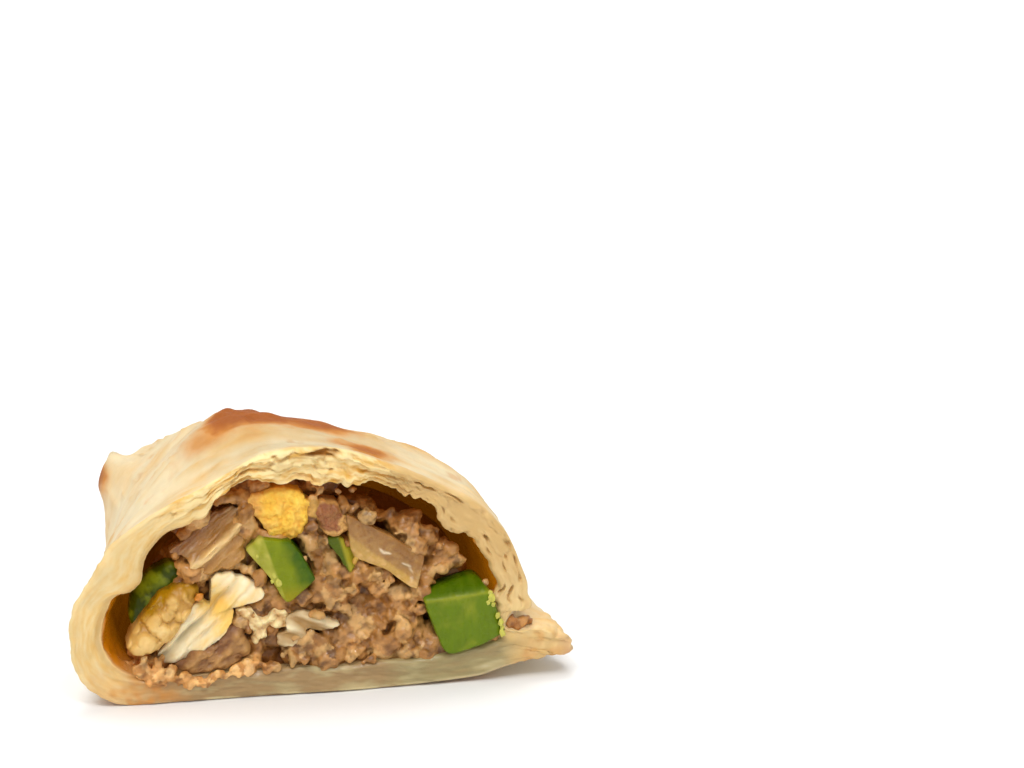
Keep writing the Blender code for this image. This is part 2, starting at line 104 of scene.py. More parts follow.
# Edge of the mouth, (x, z), with the torn lobes of the upper crust
MOUTH_OUTLINE = [
    (29.7, 6.9), (25, 5.6), (19, 4.8), (12, 4.5), (4, 4.3), (-4, 4.4), (-12, 4.4), (-20, 4.2),
    (-26, 4.3), (-29.4, 5.6), (-31.5, 8.6), (-32.1, 12), (-31, 15.4), (-29.6, 17.6), (-27.2, 18.2),
    (-25.4, 20), (-24.7, 23.6), (-21.8, 26.8), (-18.4, 28), (-15.6, 29.6), (-13.7, 31.8), (-10.6, 33.9),
    (-7, 34.2), (-3.6, 33.8), (-0.7, 34.2), (2, 33), (4.6, 33.3), (7.1, 32.6), (9.6, 33.5),
    (12.2, 32.6), (15, 31), (17.4, 30.2), (19.5, 29.3), (20.6, 26), (22.4, 24.2), (24.6, 24.2),
    (26.8, 21.3), (28.4, 18.8), (29.3, 15.8), (29, 12.8), (29.6, 10.4), (29.8, 8.4),
]
# Points of the two outlines that face each other across the crust
FACING = [(0, 0), (9, 8), (13, 12), (17, 17), (21, 24), (25, 32), (29, 39), (33, 41)]


def ramp(value, low, high):
    return np.clip((value - low) / (high - low), 0, 1)


def bell(value, width):
    return np.exp(-(value / width) ** 2)


def ease(value, low, high):
    share = ramp(value, low, high)
    return share * share * (3 - 2 * share)


# Repeatable noise on arrays of points


def cell_number(cell, seed):
    """A repeatable number from 0 to 1 for each whole-number cell."""
    mixed = cell[..., 0] * 374761393 + cell[..., 1] * 668265263 + cell[..., 2] * 1440662683
    mixed = (mixed + seed * 1274126177) & 0xFFFFFFFF
    mixed = ((mixed ^ (mixed >> 13)) * 1103515245) & 0xFFFFFFFF
    mixed = ((mixed ^ (mixed >> 15)) * 668265263) & 0xFFFFFFFF
    return ((mixed ^ (mixed >> 16)) & 0xFFFFFF) / float(0xFFFFFF)


def noise(points, spacing, seed=0):
    """Smooth noise from about -1 to 1. spacing is one size, or one for each axis."""
    place = np.asarray(points, float) / spacing + 17.31
    base = np.floor(place).astype(np.int64)
    inner = place - base
    fade = inner ** 3 * (inner * (inner * 6 - 15) + 10)
    total = np.zeros(place.shape[:-1])
    for corner in np.ndindex(2, 2, 2):
        offset = np.array(corner)
        cell = base + offset
        weight = np.prod(np.where(offset, fade, 1 - fade), axis=-1)
        slope = np.stack([cell_number(cell, seed * 3 + axis) * 2 - 1 for axis in range(3)], -1)
        total += weight * np.sum(slope * (inner - offset), axis=-1)
    return total * 1.6


def noises(points, spacing, seed=0, octaves=3, gain=0.5):
    """Several noises, each at half the last one's spacing."""
    total = 0
    strength = 1
    size = np.asarray(spacing, float)
    for octave in range(octaves):
        total = total + strength * noise(points, size, seed + 31 * octave)
        strength *= gain
        size = size / 2.03
    return total


def cell_distance(points, spacing, seed=0):
    """Distances to the nearest and second nearest of one jittered spot per cell, and a
    repeatable number of the nearest one's cell."""
    place = np.asarray(points, float) / spacing
    base = np.floor(place).astype(np.int64)
    nearest = np.full(place.shape[:-1], 9.0)
    second = np.full(place.shape[:-1], 9.0)
    number = np.zeros(place.shape[:-1])
    for step in np.ndindex(3, 3, 3):
        cell = base + (np.array(step) - 1)
        spot = cell + np.stack([cell_number(cell, seed * 3 + axis) for axis in range(3)], -1)
        distance = np.linalg.norm(place - spot, axis=-1)
        closer = distance < nearest
        second = np.where(closer, nearest, np.minimum(second, distance))
        nearest = np.where(closer, distance, nearest)
        number = np.where(closer, cell_number(cell, seed + 77), number)
    return nearest, second, number


# Outlines and the taper of the body


def spline_outline(outline, samples=16):
    """The closed Catmull-Rom curve through an outline, and each sample's knot number."""
    knots = np.array(outline, float)
    count = len(knots)
    share = (np.arange(samples) / samples)[None, :, None]
    p0, p1, p2, p3 = (knots[(np.arange(count) + k) % count][:, None, :] for k in (-1, 0, 1, 2))
    curve = 0.5 * (2 * p1 + (p2 - p0) * share + (2 * p0 - 5 * p1 + 4 * p2 - p3) * share ** 2
                   + (3 * p1 - p0 - 3 * p2 + p3) * share ** 3)
    numbers = np.arange(count)[:, None] + (np.arange(samples) / samples)[None, :]
    curve = np.concatenate([curve.reshape(-1, 2), curve[:1, 0]])
    return curve, np.append(numbers.reshape(-1), count)


def read_curve(curve, numbers, wanted):
    """Points of a sampled curve at the wanted knot numbers."""
    return np.stack([np.interp(wanted, numbers, curve[:, axis]) for axis in (0, 1)], -1)


def arc_length(curve):
    steps = np.linalg.norm(np.diff(curve, axis=0), axis=1)
    return np.concatenate([[0], np.cumsum(steps)])


def outward(points):
    """Outward normals of a closed outline that runs clockwise as listed."""
    along = np.roll(points, -1, axis=0) - np.roll(points, 1, axis=0)
    along /= np.linalg.norm(along, axis=1, keepdims=True) + 1e-9
    normals = np.stack([-along[:, 1], along[:, 0]], -1)
    area = np.sum(points[:, 0] * np.roll(points[:, 1], -1) - np.roll(points[:, 0], -1) * points[:, 1])
    return normals if area < 0 else -normals


def relaxed(points, rounds):
    for _ in range(rounds):
        points = (np.roll(points, 1, axis=0) + 2 * points + np.roll(points, -1, axis=0)) / 4
    return points


def carry_back(points, depth):
    """Where points (x, z) of the cut lie in the section at this depth: the body's taper."""
    t = min(1, max(0, depth / BODY_DEPTH))
    ridge = RIDGE_X + (TAIL_X - RIDGE_X) * t ** 1.15
    fold = FOLD_X + (TAIL_FOLD_X - FOLD_X) * t ** 0.6
    seam = TAIL_SEAM_X + (SEAM_X - TAIL_SEAM_X) * (1 - t * t) ** 0.75
    top = CUT_HEIGHT + (TAIL_TOP - CUT_HEIGHT) * t ** 2.05
    swollen = bell(t - HUMP_AT, 0.15)
    top += CROWN * swollen
    lift = TAIL_LIFT * float(ramp(depth, FLAT_LENGTH, BODY_DEPTH)) ** 1.6
    px, pz = points[:, 0], points[:, 1]
    to_fold = ridge + (px - RIDGE_X) * (fold - ridge) / (FOLD_X - RIDGE_X)
    to_seam = ridge + (px - RIDGE_X) * (seam - ridge) / (SEAM_X - RIDGE_X)
    x = np.where(px < RIDGE_X, to_fold, to_seam)
    z = lift + pz * (top - lift) / CUT_HEIGHT
    rising = bell(t - 0.58, 0.16)
    z = z + RISE * rising * bell(px + 19, 8) * ramp(pz, 8, 20)
    z = z + HUMP * swollen * bell(px - HUMP_X, 9) * ramp(pz, 8, 20)
    fuller = ramp(px, 8, 22) - 1.1 * ramp(-px, 6, 18)
    z = z + SHOULDER * fuller * ramp(pz, 8, 20) * math.sin(math.pi * min(1, t / 0.75))
    rounding = math.sqrt(max(0, 1 - float(ramp(t, 1 - TAIL_ROUND, 1)) ** 2))
    middle = np.array([TAIL_X, (TAIL_TOP + TAIL_LIFT) / 2])
    return middle + (np.stack([x, z], -1) - middle) * max(rounding, 0.12)


# Meshes


def srgb(red, green, blue):
    """A linear colour from display values of 0 to 255."""
    value = np.array([red, green, blue], float) / 255
    return np.where(value <= 0.04045, value / 12.92, ((value + 0.055) / 1.055) ** 2.4)


def new_object(name, points, faces, colours, masks=None):
    """An object in the frame from points in millimetres, with its colours and masks."""
    mesh = bpy.data.meshes.new(name)
    mesh.from_pydata(in_frame(points).tolist(), [], faces)
    thing = linked(name, mesh)
    paint(thing, "tint", colours)
    for key, values in (masks or {}).items():
        attribute = mesh.attributes.new(key, "FLOAT", "POINT")
        attribute.data.foreach_set("value", np.asarray(values, np.float32))
    face_out(thing)
    return thing


def shell(name, grid, tint, masks=None):
    """A closed object from rows of closed rings, with a point at the middle of each end."""
    rows, columns = grid.shape[:2]
    points = np.concatenate([grid.reshape(-1, 3), grid[:1].mean(axis=1), grid[-1:].mean(axis=1)])
    colours = np.concatenate([tint.reshape(-1, 3), tint[0, :1], tint[-1, :1]])
    faces = grid_faces(rows, columns).tolist()
    first, last = rows * columns, (rows - 1) * columns
    for i in range(columns):
        after = (i + 1) % columns
        faces.append([first, after, i])
        faces.append([first + 1, last + i, last + after])
    masks = {key: np.append(values.reshape(-1), [values[0, 0], values[-1, 0]])
             for key, values in (masks or {}).items()}
    return new_object(name, points, faces, colours, masks)


def face_out(thing):
    """Turn a closed mesh's faces outwards."""
    solid = bmesh.new()
    solid.from_mesh(thing.data)
    bmesh.ops.recalc_face_normals(solid, faces=solid.faces)
    solid.to_mesh(thing.data)
    solid.free()


def paint(thing, name, colours):
    """Store a linear colour for each vertex."""
    attribute = thing.data.color_attributes.new(name, "FLOAT_COLOR", "POINT")
    full = np.concatenate([colours, np.ones((len(colours), 1))], axis=1)
    attribute.data.foreach_set("color", full.astype(np.float32).reshape(-1))


def grid_faces(rows, columns):
    """Quads of a grid whose columns close round."""
    row = np.arange(rows - 1)[:, None]
    column = np.arange(columns)[None, :]
    after = (column + 1) % columns
    quads = np.stack([row * columns + column, row * columns + after,
                      (row + 1) * columns + after, (row + 1) * columns + column], -1)
    return quads.reshape(-1, 4)


def grid_normals(grid):
    """Normals of a grid of points whose columns close round."""
    across = np.roll(grid, -1, axis=1) - np.roll(grid, 1, axis=1)
    down = np.gradient(grid, axis=0)
    normals = np.cross(across, down)
    return normals / (np.linalg.norm(normals, axis=-1, keepdims=True) + 1e-9)


def mix(first, second, share, most=1):
    """A mix of two colours or lists of points. The second's share is kept from 0 to most."""
    share = np.clip(share, 0, most)[..., None]
    return first * (1 - share) + second * share


def layered(base, *coats):
    """A base under coats, each with its colour, its share and, where given, the most of that."""
    for coat in coats:
        base = mix(base, *coat)
    return base


def flat_spot(x, z):
    """Points for noise on a face that is seen along y."""
    return np.stack([x, x * 0, z], -1)


def turned_spot(x, z, centre, along, across):
    """Lengths along and across a turned piece, and the points for noise on it."""
    dx, dz = x - centre[0], z - centre[1]
    along = dx * along[0] + dz * along[1]
    across = dx * across[0] + dz * across[1]
    return along, across, flat_spot(along, across)


def linked(name, data):
    """A new object on this data, in the scene."""
    thing = bpy.data.objects.new(name, data)
    bpy.context.scene.collection.objects.link(thing)
    return thing


# Crust


RIM_ROUND = 0.8
CRUST_COLUMNS = 660
SEAM_BLEND = 12


def crust_columns():
    """Knot numbers of both outlines for every column of the crust."""
    curve, numbers = spline_outline(CRUST_OUTLINE)
    length = arc_length(curve)
    wanted = np.linspace(0, length[-1], CRUST_COLUMNS, endpoint=False)
    outer_knot = np.interp(wanted, length, numbers)
    mouth_curve, mouth_numbers = spline_outline(MOUTH_OUTLINE)
    mouth_length = arc_length(mouth_curve)
    outer_stops = [pair[0] for pair in FACING] + [len(CRUST_OUTLINE)]
    mouth_stops = [pair[1] for pair in FACING] + [len(MOUTH_OUTLINE)]
    outer_at = np.interp(outer_stops, numbers, length)
    mouth_at = np.interp(mouth_stops, mouth_numbers, mouth_length)
    mouth_wanted = np.interp(wanted, outer_at, mouth_at)
    return wanted, outer_knot, np.interp(mouth_wanted, mouth_length, mouth_numbers)


def crust_rows():
    """The rows of the crust, from the tail to the cut, over the rim and into the hollow."""
    def spread(first, last, step, growth):
        depths = [first]
        while depths[-1] + step < last:
            depths.append(depths[-1] + step)
            step *= growth
        return depths + [last]
    outer = spread(RIM_ROUND, BODY_DEPTH, 0.3, 1.03)
    inner = spread(RIM_ROUND, CAVITY_DEPTH, 0.34, 1.13)
    rim = [0.02, 0.05, 0.09] + list(np.linspace(0.13, 0.88, 33)) + [0.92, 0.955, 0.985]
    rows = [("outer", depth) for depth in reversed(outer)]
    rows += [("rim", share) for share in rim]
    rows += [("inner", depth) for depth in inner]
    return rows


def ring_noise(length, second, third, spacing, seed, octaves=1):
    """Noise over the way round the crust and two more directions, without a step at the seam."""
    whole = length.max() * CRUST_COLUMNS / (CRUST_COLUMNS - 1)
    share = ease(length, whole - SEAM_BLEND, whole)
    spots = [np.stack([length - back, second, third], -1) for back in (0, whole)]
    first, last = (noises(spot, spacing, seed, octaves) for spot in spots)
    return first * (1 - share) + last * share


def crust_sections(rows, along, outer_knot, mouth_knot):
    """The smooth shell: its grid of points, and each point's kind, depth and rim share."""
    notched = read_curve(*spline_outline(CRUST_OUTLINE), outer_knot)
    shut = [SEAM_SHUT.get(i, point) for i, point in enumerate(CRUST_OUTLINE)]
    closed = read_curve(*spline_outline(shut), outer_knot)
    ragged = read_curve(*spline_outline(MOUTH_OUTLINE), mouth_knot)
    smooth = relaxed(ragged, 500)
    smooth = smooth + outward(smooth) * 0.9
    zero = along * 0

    # The torn edges: fine teeth along the top, the flap and the lip, gentle elsewhere
    upper = ease(ragged[:, 1], 26, 31)
    flap = ease(ragged[:, 0], 14, 24) * ease(ragged[:, 1], 9, 14)
    teeth = ring_noise(along, zero, zero, 1.9, 5) + 0.9 * ring_noise(along, zero, zero, 0.9, 6)
    big = ring_noise(along, zero, zero, 4.5, 7)
    ragged = ragged + outward(ragged) * (
        teeth * (0.07 + 0.42 * upper + 0.3 * flap) + big * (0.12 + 0.25 * upper))[:, None]
    tip = np.exp(-((notched - (33.2, 12)) ** 2).sum(1) / 5)
    lip = ease(notched[:, 0], 31, 39) * ease(-notched[:, 1], -9, -7)
    left = ease(-notched[:, 0], 27, 32)
    edge = (teeth * (0.04 + 0.65 * tip + 0.95 * lip + 0.1 * left)
            + big * (0.15 + 0.9 * lip + 0.3 * left))[:, None] * outward(notched)
    edge[:, 1] *= ease(notched[:, 1], 0.2, 2) + 0.1

    shape = (len(rows), CRUST_COLUMNS)
    grid = np.zeros((*shape, 3))
    share_of, kind, depth_of = np.zeros(shape), np.zeros(shape), np.zeros(shape)
    for i, (part, value) in enumerate(rows):
        depth = value
        if part == "outer":
            section = mix(notched, closed, np.full(CRUST_COLUMNS, ramp(value, 0, SLIT_DEPTH)))
            section = carry_back(section + edge * float(ramp(-value, -3.5, 0)), value)
        elif part == "rim":
            near = min(1, min(value, 1 - value) / 0.16)
            depth = RIM_ROUND * (1 - math.sqrt(1 - (1 - near) ** 2))
            section = notched + edge + (ragged - notched - edge) * value
            share_of[i] = value
            kind[i] = 1
        else:
            share = np.full(CRUST_COLUMNS, ramp(value, 0.6, 5))
            section = carry_back(mix(ragged, smooth, share), value * 1.06)
            middle = section.mean(axis=0)
            back = float(ramp(value, 8, CAVITY_DEPTH))
            section = middle + (section - middle) * (1 - CRUST_WALL * back * 1.1 / 16 * back)
            kind[i] = 2
        grid[i] = np.stack([section[:, 0], np.full(CRUST_COLUMNS, depth), section[:, 1]], -1)
        depth_of[i] = depth
    start = grid.copy()
    for centre, pull, reach in PINCHES:
        near = np.exp(-((start - centre) ** 2).sum(-1) / reach ** 2) * (kind == 0)
        grid += near[..., None] * np.array(pull)
    return grid, kind, depth_of, share_of


def torn_layers(length, share, count):
    """Layers of dough that step back across the rim: their height, and the painted shade at the foot of
    each step.
    """
    height = np.zeros(length.shape)
    step_shade = np.zeros(length.shape)
    zero = length * 0
    for k in range(count):
        seed = 200 + 7 * k
        wander = (0.15 * ring_noise(length, zero, zero, 6.5, seed)
                  + 0.06 * ring_noise(length, zero, zero, 1.7, seed + 1)
                  + 0.025 * ring_noise(length, zero, zero, 0.7, seed + 2))
        edge = (k + 0.7) / (count + 0.4) + wander
        rise = 0.35 + 1.1 * ring_noise(length, zero, zero, 5, seed + 3)
        height -= rise * ease(share, edge, edge + 0.05)
        step_shade += np.clip(rise, 0, 1) * bell(share - edge - 0.04, 0.035)
    spot = np.stack([length, share * 5, zero], -1)
    spot = spot + 0.6 * np.stack([noises(spot, 1.6, 230 + k, 2) for k in (0, 1, 2)], -1)
    near, second, number = cell_distance(spot, (4.4, 1.5, 9), 236)
    height += 1.5 * (number - 0.5)
    step_shade += 0.5 * bell(second - near, 0.06)
    return height, step_shade


def make_crust():
    along, outer_knot, mouth_knot = crust_columns()
    rows = crust_rows()
    grid, kind, depth, share = crust_sections(rows, along, outer_knot, mouth_knot)
    normals = grid_normals(grid)
    outer, rim, inner = (kind == number for number in (0, 1, 2))
    length = np.broadcast_to(along, kind.shape)
    bottom = ease(-grid[..., 2], -1.6, -0.4) * outer
    zero = depth * 0

    # Soft folds that run round the body beside the cut, crisp creases, wrinkles and swells
    bend = depth + 0.16 * length + 2.4 * noise(grid, 16, 11)
    folds = (ring_noise(length, bend, zero, (26, 5.2, 9), 21)
             + 0.3 * ring_noise(length, bend, zero, (13, 2.3, 9), 22))
    lines = ring_noise(length, bend, zero, (22, 5, 9), 23)
    creases = bell(lines, 0.07) * ease(depth, 0.8, 3)
    creases = creases * ease(noise(grid, 11, 24), -0.1, 0.35)
    wrinkles = ring_noise(length, bend, zero, (6, 1.3, 3), 25, 2)
    skin = noises(grid, 2.2, 27, 3)
    swell = noise(grid, 14, 29)
    calm = (1 - 0.85 * bottom) * (1 - 0.75 * ease(depth, 47, 55))
    relief = outer * calm * (0.52 * folds - 0.4 * creases + 0.08 * wrinkles + 0.05 * skin
                             + 0.5 * swell * ease(depth, 0, 8))
    end = ease(grid[..., 0], 36.5, 41) * ease(-depth, -15, -10)
    relief += outer * end * 0.9 * noises(grid, (1.5, 2.5, 1.1), 67, 2)
    relief += inner * 0.4 * noises(grid, 3.2, 33, 3) * ease(depth, 0.8, 2.5)

    # The cut: layers of dough, deepest where the top is torn, and the opening in the tear
    x, z = grid[..., 0], grid[..., 2]
    torn = ease(z, 27, 32) * ease(-x, -19, -12) * ease(x, -25, -17)
    side = ease(x, 12, 18) * ease(z, 10, 14)
    height, step_shade = torn_layers(length, share, 3)

    def grain(around, over, seed, octaves=1):
        return ring_noise(length, share * 5, zero, (around, over, 9), seed, octaves)

    spread = 0.07 + 0.55 * torn + 0.13 * side
    chips = grain(2.2, 0.8, 43, 2)
    high = ease(z, 31, 34)
    pits = np.clip(grain(3, 1.2, 44) - 0.25, 0, 1) * high
    pores = np.clip(grain(2.4, 0.7, 46) - 0.36, 0, 1)
    out = spread * (height + 0.45 * chips) - 1.8 * torn * pits
    out -= 2.8 * side * pores
    out += 0.35 * grain(11, 4, 45)
    out += 0.5 * chips * ease(x, 34, 40) * ease(-z, -9, -7)
    low = ease(-z, -8, -5)
    out += 0.25 * low * grain(5, 1.3, 47, 2)
    mouth = ((x - 2.3 + 0.5 * chips) / 2.7) ** 2 + ((z - 38.3 + 0.35 * chips) / 0.48) ** 2
    tear = np.exp(-mouth ** 2)
    out -= 1.5 * tear
    lift = rim * ease(np.minimum(share, 1 - share), 0, 0.1) * out

    grid = grid + normals * relief[..., None]
    grid[..., 1] -= lift
    grid[..., 2] = np.where(outer | rim, np.maximum(grid[..., 2], 0), grid[..., 2])
    tint = crust_tint(grid, kind, depth, share, length, folds, creases, torn, step_shade, tear, pits)
    # Wet mask: the cavity wall and parts of the rim are smoother and coated; it also drives the painted
    # glow of the cavity wall
    wet = inner + rim * (0.55 * low + 0.35 * side)
    return shell("crust_shell", grid, tint, {"wet": wet})


CREAM = srgb(225, 206, 166)
GOLDEN = srgb(222, 180, 114)
BAKED = srgb(206, 138, 60)
BROWNED = srgb(160, 86, 24)
RIM_CREAM = srgb(229, 204, 150)
RIM_PALE = srgb(244, 218, 158)
RIM_GOLD = srgb(222, 170, 76)
RIM_PAINTED_SHADE = srgb(170, 110, 34)
FLAP = srgb(208, 170, 108)
FLAP_TIP = srgb(229, 198, 138)
DOUGH_WET = srgb(162, 132, 88)
DOUGH_OLIVE = srgb(158, 142, 96)
DOUGH_SHINE = srgb(212, 194, 146)
SPOT_BROWN = srgb(204, 138, 62)
LIP_END = srgb(206, 158, 112)
OILY = srgb(196, 118, 8)
OILY_DEPTH_SHADE = srgb(130, 72, 4)

# How much darker the top is painted, as shade that offsets the light falling on it from above
TOP_PAINTED_SHADE = 0.17

# Baked patches on the outside: centre (x, y, z), radii (x, y, z) and strength
BAKED_PATCHES = [
    ((-6, 16.4, 40.6), (11.5, 6.8, 5.6), 1.2), ((-14.2, 12.4, 37.8), (7.8, 3.9, 4.2), 0.47),
    ((4, 13.6, 39.5), (7.5, 4.2, 4), 0.9), ((10, 4.6, 38), (5, 3.6, 4), 0.8),
    ((-29.4, 53, 20.8), (2.6, 4, 3.4), 1), ((4, 38, 33), (9, 7, 6), 0.8),
    ((-15, 47, 27), (6, 4, 5), 0.55), ((26, 22, 24), (6, 9, 6), 0.55), ((12, 40, 8), (14, 8, 6), 0.7),
]


def crust_tint(grid, kind, depth, share, length, folds, creases, torn, step_shade, tear, pits):
    """The crust's colour at every point of its grid."""
    x, z = grid[..., 0], grid[..., 2]
    zero = depth * 0
    patch = np.zeros(kind.shape)
    warp = 1 + 0.34 * noises(grid, 7, 51, 4, 0.6)
    for centre, radii, strength in BAKED_PATCHES:
        distance = np.sqrt((((grid - centre) / radii) ** 2).sum(-1)) * warp
        patch = np.maximum(patch, strength * (1 - ease(distance, 0.25, 1.25)))
    blotch = noises(grid, 9, 53, 3)
    streak = ring_noise(length, depth + 0.16 * length, zero, (12, 1.5, 3), 55, 2)
    # Golden tone: random blotches and streaks, and painted shade that makes the valleys of the folds
    # and the creases darker and more golden
    warm = 0.28 + 0.5 * blotch + 0.25 * streak - 0.4 * folds + 0.35 * creases
    warm = warm + 0.12 * ease(z, 33, 39)
    colour = layered(CREAM, (GOLDEN, warm), (BAKED, warm - 0.85, 0.5))
    freckles = noises(grid, 3.4, 61, 3)
    colour = mix(colour, BAKED, (freckles - 0.55) * 1.2, 0.4)
    # Painted shade: the top is darkened to offset the light from above
    colour = colour * (1 - TOP_PAINTED_SHADE * ease(z, 33, 39))[..., None]
    under = ease(-z, -3, -0.4) * (kind == 0)
    colour = layered(colour, (BAKED, under * (0.75 + 0.5 * blotch)), (BAKED, patch * 1.7),
                     (BROWNED, (patch - 0.4) * 2 + 0.12 * streak))

    grain = ring_noise(length, share * 5, zero, (3, 0.7, 9), 57, 3)
    rim = mix(RIM_CREAM, RIM_GOLD, 0.15 + 0.35 * grain + 0.25 * share)
    # Painted shade: the pits and the feet of the layers' steps are painted more golden and darker
    top = layered(RIM_PALE, (RIM_GOLD, 0.16 + 0.9 * grain + 1.5 * pits + 0.6 * step_shade),
                  (RIM_PAINTED_SHADE, step_shade * 0.6 - 0.2, 0.6))
    rim = mix(rim, top, torn)
    to_flap = ease(x, 8, 17) * ease(z, 9, 11)
    flap = mix(FLAP, FLAP_TIP, 0.6 * ease(-z, -22, -14) + 0.4 * grain)
    rim = mix(rim, flap, to_flap)
    low = ease(-z, -8.5, -5.5) * ease(x, -30, -22)
    cloud = noises(grid, (5.5, 5.5, 1.8), 63, 3)
    wet = mix(DOUGH_WET, DOUGH_OLIVE, ease(x, 6, 20) + 0.7 * cloud)
    shine = bell(share - 0.08, 0.045) * np.clip(0.7 + 1.6 * cloud, 0, 1)
    wet = layered(wet, (DOUGH_SHINE, shine * 0.9 + 0.5 * cloud + 0.15 * grain), (FLAP, ease(x, 29, 34)))
    rim = layered(rim, (wet, low), (LIP_END, ease(x, 37.5, 41) * 0.7))
    spots = np.clip(noises(grid, 2.6, 59, 2) * 1.6 + 0.25, 0, 1)
    lip = ease(x, 31, 35) * ease(-z, -9, -7)
    rim = layered(rim, (SPOT_BROWN, lip * (spots - 0.3) * 0.8, 0.45),
                  (FLAP_TIP, lip * (0.5 * grain + 0.4 * cloud), 0.6))
    corner = np.exp(-(((x + 27.5) / 7) ** 2 + ((z - 1.6) / 3) ** 2))
    # Painted shade: the opening of the tear is painted dark
    rim = layered(rim, (SPOT_BROWN, corner * (0.4 + spots), 0.9), (RIM_PAINTED_SHADE, tear * 1.2))

    # Painted shade: the cavity wall is painted darker further in, with random blotches
    oily = mix(OILY, OILY_DEPTH_SHADE, ease(depth, 2, 14) + 0.35 * blotch)
    start = ease(depth, 0.5, 2.2) * (1 - low) + ease(depth, 3, 8) * low
    oily = mix(rim, oily, start)
    colour = mix(colour, rim, np.where(kind == 1, 1, np.exp(-depth / 0.8) * (kind == 0) * 0.6))
    return np.where((kind == 2)[..., None], oily, colour)


# Materials


def node_group(material):
    material.use_nodes = True
    nodes = material.node_tree.nodes
    return nodes, material.node_tree.links, nodes["Principled BSDF"]


# Strength of the painted glow: the cavity's wall gives off its own colour as light, though it is no
# lamp;
# how much a wet mask takes from the roughness, and how far light scatters in food, in millimetres
PAINTED_WALL_GLOW = 0.3
WET_SMOOTHING = -0.32
SCATTER = (1.2, 0.7, 0.35)


def food_material(name, roughness, variation=0.12, grain=1.2, bump=0.25, subsurface=0.1,
                  coat=0, coat_roughness=0.12, specular=0.28, wet_and_glow_mask=False):
    """A procedural food surface: painted tint, blotches, gloss and bump; with the wet mask, also a
    painted glow.
    """
    material = bpy.data.materials.new(name)
    nodes, links, shader = node_group(material)

    def fill(node, inputs):
        for key, value in inputs.items():
            if isinstance(value, bpy.types.NodeSocket):
                links.new(value, node.inputs[key])
            else:
                node.inputs[key].default_value = value

    def made(kind, output, inputs, operation=None):
        node = nodes.new("ShaderNode" + kind)
        if operation:
            node.operation = operation
        fill(node, inputs)
        return node.outputs[output]

    def stored(attribute, output):
        node = nodes.new("ShaderNodeAttribute")
        node.attribute_name = attribute
        return node.outputs[output]

    place = made("TexCoord", "Object", {})
    tint = stored("tint", "Color")

    def cloud(scale_mm, detail=4, rough=0.55, distortion=0):
        return made("TexNoise", "Fac", {"Vector": place, "Scale": 1 / (scale_mm * MM), "Detail": detail,
                                        "Roughness": rough, "Distortion": distortion})

    def spread(value, low, high):
        return made("MapRange", "Result", {"Value": value, "From Min": 0.3, "From Max": 0.7,
                                           "To Min": low, "To Max": high})

    blotches = spread(cloud(grain * 2.2), 1 - variation, 1 + variation)
    rough = spread(cloud(grain * 0.9), roughness - 0.1, roughness + 0.12)
    fill(shader, {"Subsurface Weight": subsurface, "Subsurface Radius": SCATTER,
                  "Subsurface Scale": MM, "Coat Weight": coat, "Coat Roughness": coat_roughness,
                  "Specular IOR Level": specular})
    if wet_and_glow_mask:
        # The wet mask makes the surface smoother and coated, and its fifth power sets a painted glow:
        # the tint is emitted as light
        wet = stored("wet", "Fac")
        rough = made("Math", "Value", {0: wet, 1: WET_SMOOTHING, 2: rough}, "MULTIPLY_ADD")
        painted_glow = made("Math", "Value", {0: wet, 1: 5}, "POWER")
        fill(shader, {"Coat Weight": made("Math", "Value", {0: wet, 1: coat}, "MULTIPLY"),
                      "Emission Color": tint,
                      "Emission Strength": made("Math", "Value", {0: painted_glow, 1: PAINTED_WALL_GLOW},
                                                "MULTIPLY")})
    height = made("Math", "Value", {0: cloud(grain * 1.3, 3, 0.5, 0.4), 1: 1.6,
                                    2: cloud(grain * 0.35, 5, 0.6)}, "MULTIPLY_ADD")
    fill(shader, {"Base Color": made("VectorMath", "Vector", {0: tint, "Scale": blotches}, "SCALE"),
                  "Roughness": rough,
                  "Normal": made("Bump", "Normal", {"Strength": bump, "Distance": 0.25 * MM,
                                                    "Height": height})})
    return material


# Filling

BEEF_TONES = [srgb(166, 112, 50), srgb(198, 142, 74), srgb(138, 93, 50), srgb(172, 112, 46),
              srgb(118, 76, 34), srgb(157, 114, 64)]
# The next two are painted shade: for the beef's crevices, and for beef set further back from the front
BEEF_CREVICE_SHADE = srgb(98, 56, 16)
BEEF_SET_BACK_SHADE = srgb(140, 82, 22)
PALE_BIT = srgb(214, 168, 102)
YELLOW_BIT = srgb(236, 186, 74)
CRUMB_TONES = [srgb(208, 150, 84), srgb(186, 128, 64), srgb(228, 178, 110)]
# How bright the beef is as a whole, and how much lighter the bits spilled on the rim are
BEEF_SHADE = 0.86
SPILL_LIGHT = 0.36
# Voxel of the beef's skin, and the depth behind which only this share of its triangles is kept
FILLING_VOXEL = 0.3
HIDDEN_DEPTH = 12
HIDDEN_SHARE = 0.62

# How far the front of the filling lies behind the cut: base, and places set back or forward
# as centre (x, z), reach (x, z) and depth
FRONT_DEPTH = 0.9
HOLLOWS = [
    ((16.5, 29.5), (8, 3.6), 6), ((0, 33.5), (20, 2), 3), ((-28.5, 12), (4, 7), 9),
    ((-24.5, 21), (3, 3), 5), ((-15, 24), (6.5, 5), 2.6), ((-9.2, 17.6), (2.6, 2.2), 2.4),
    ((2.6, 20.8), (2.2, 2.2), 3), ((17.2, 19.2), (3.2, 1.8), 2.4), ((9.5, 14), (3, 1.5), 1.4),
    ((24, 20), (2.5, 4), 3), ((-3, 4.5), (24, 2.2), -1.3), ((-14, 3.6), (7, 2), -1),
]

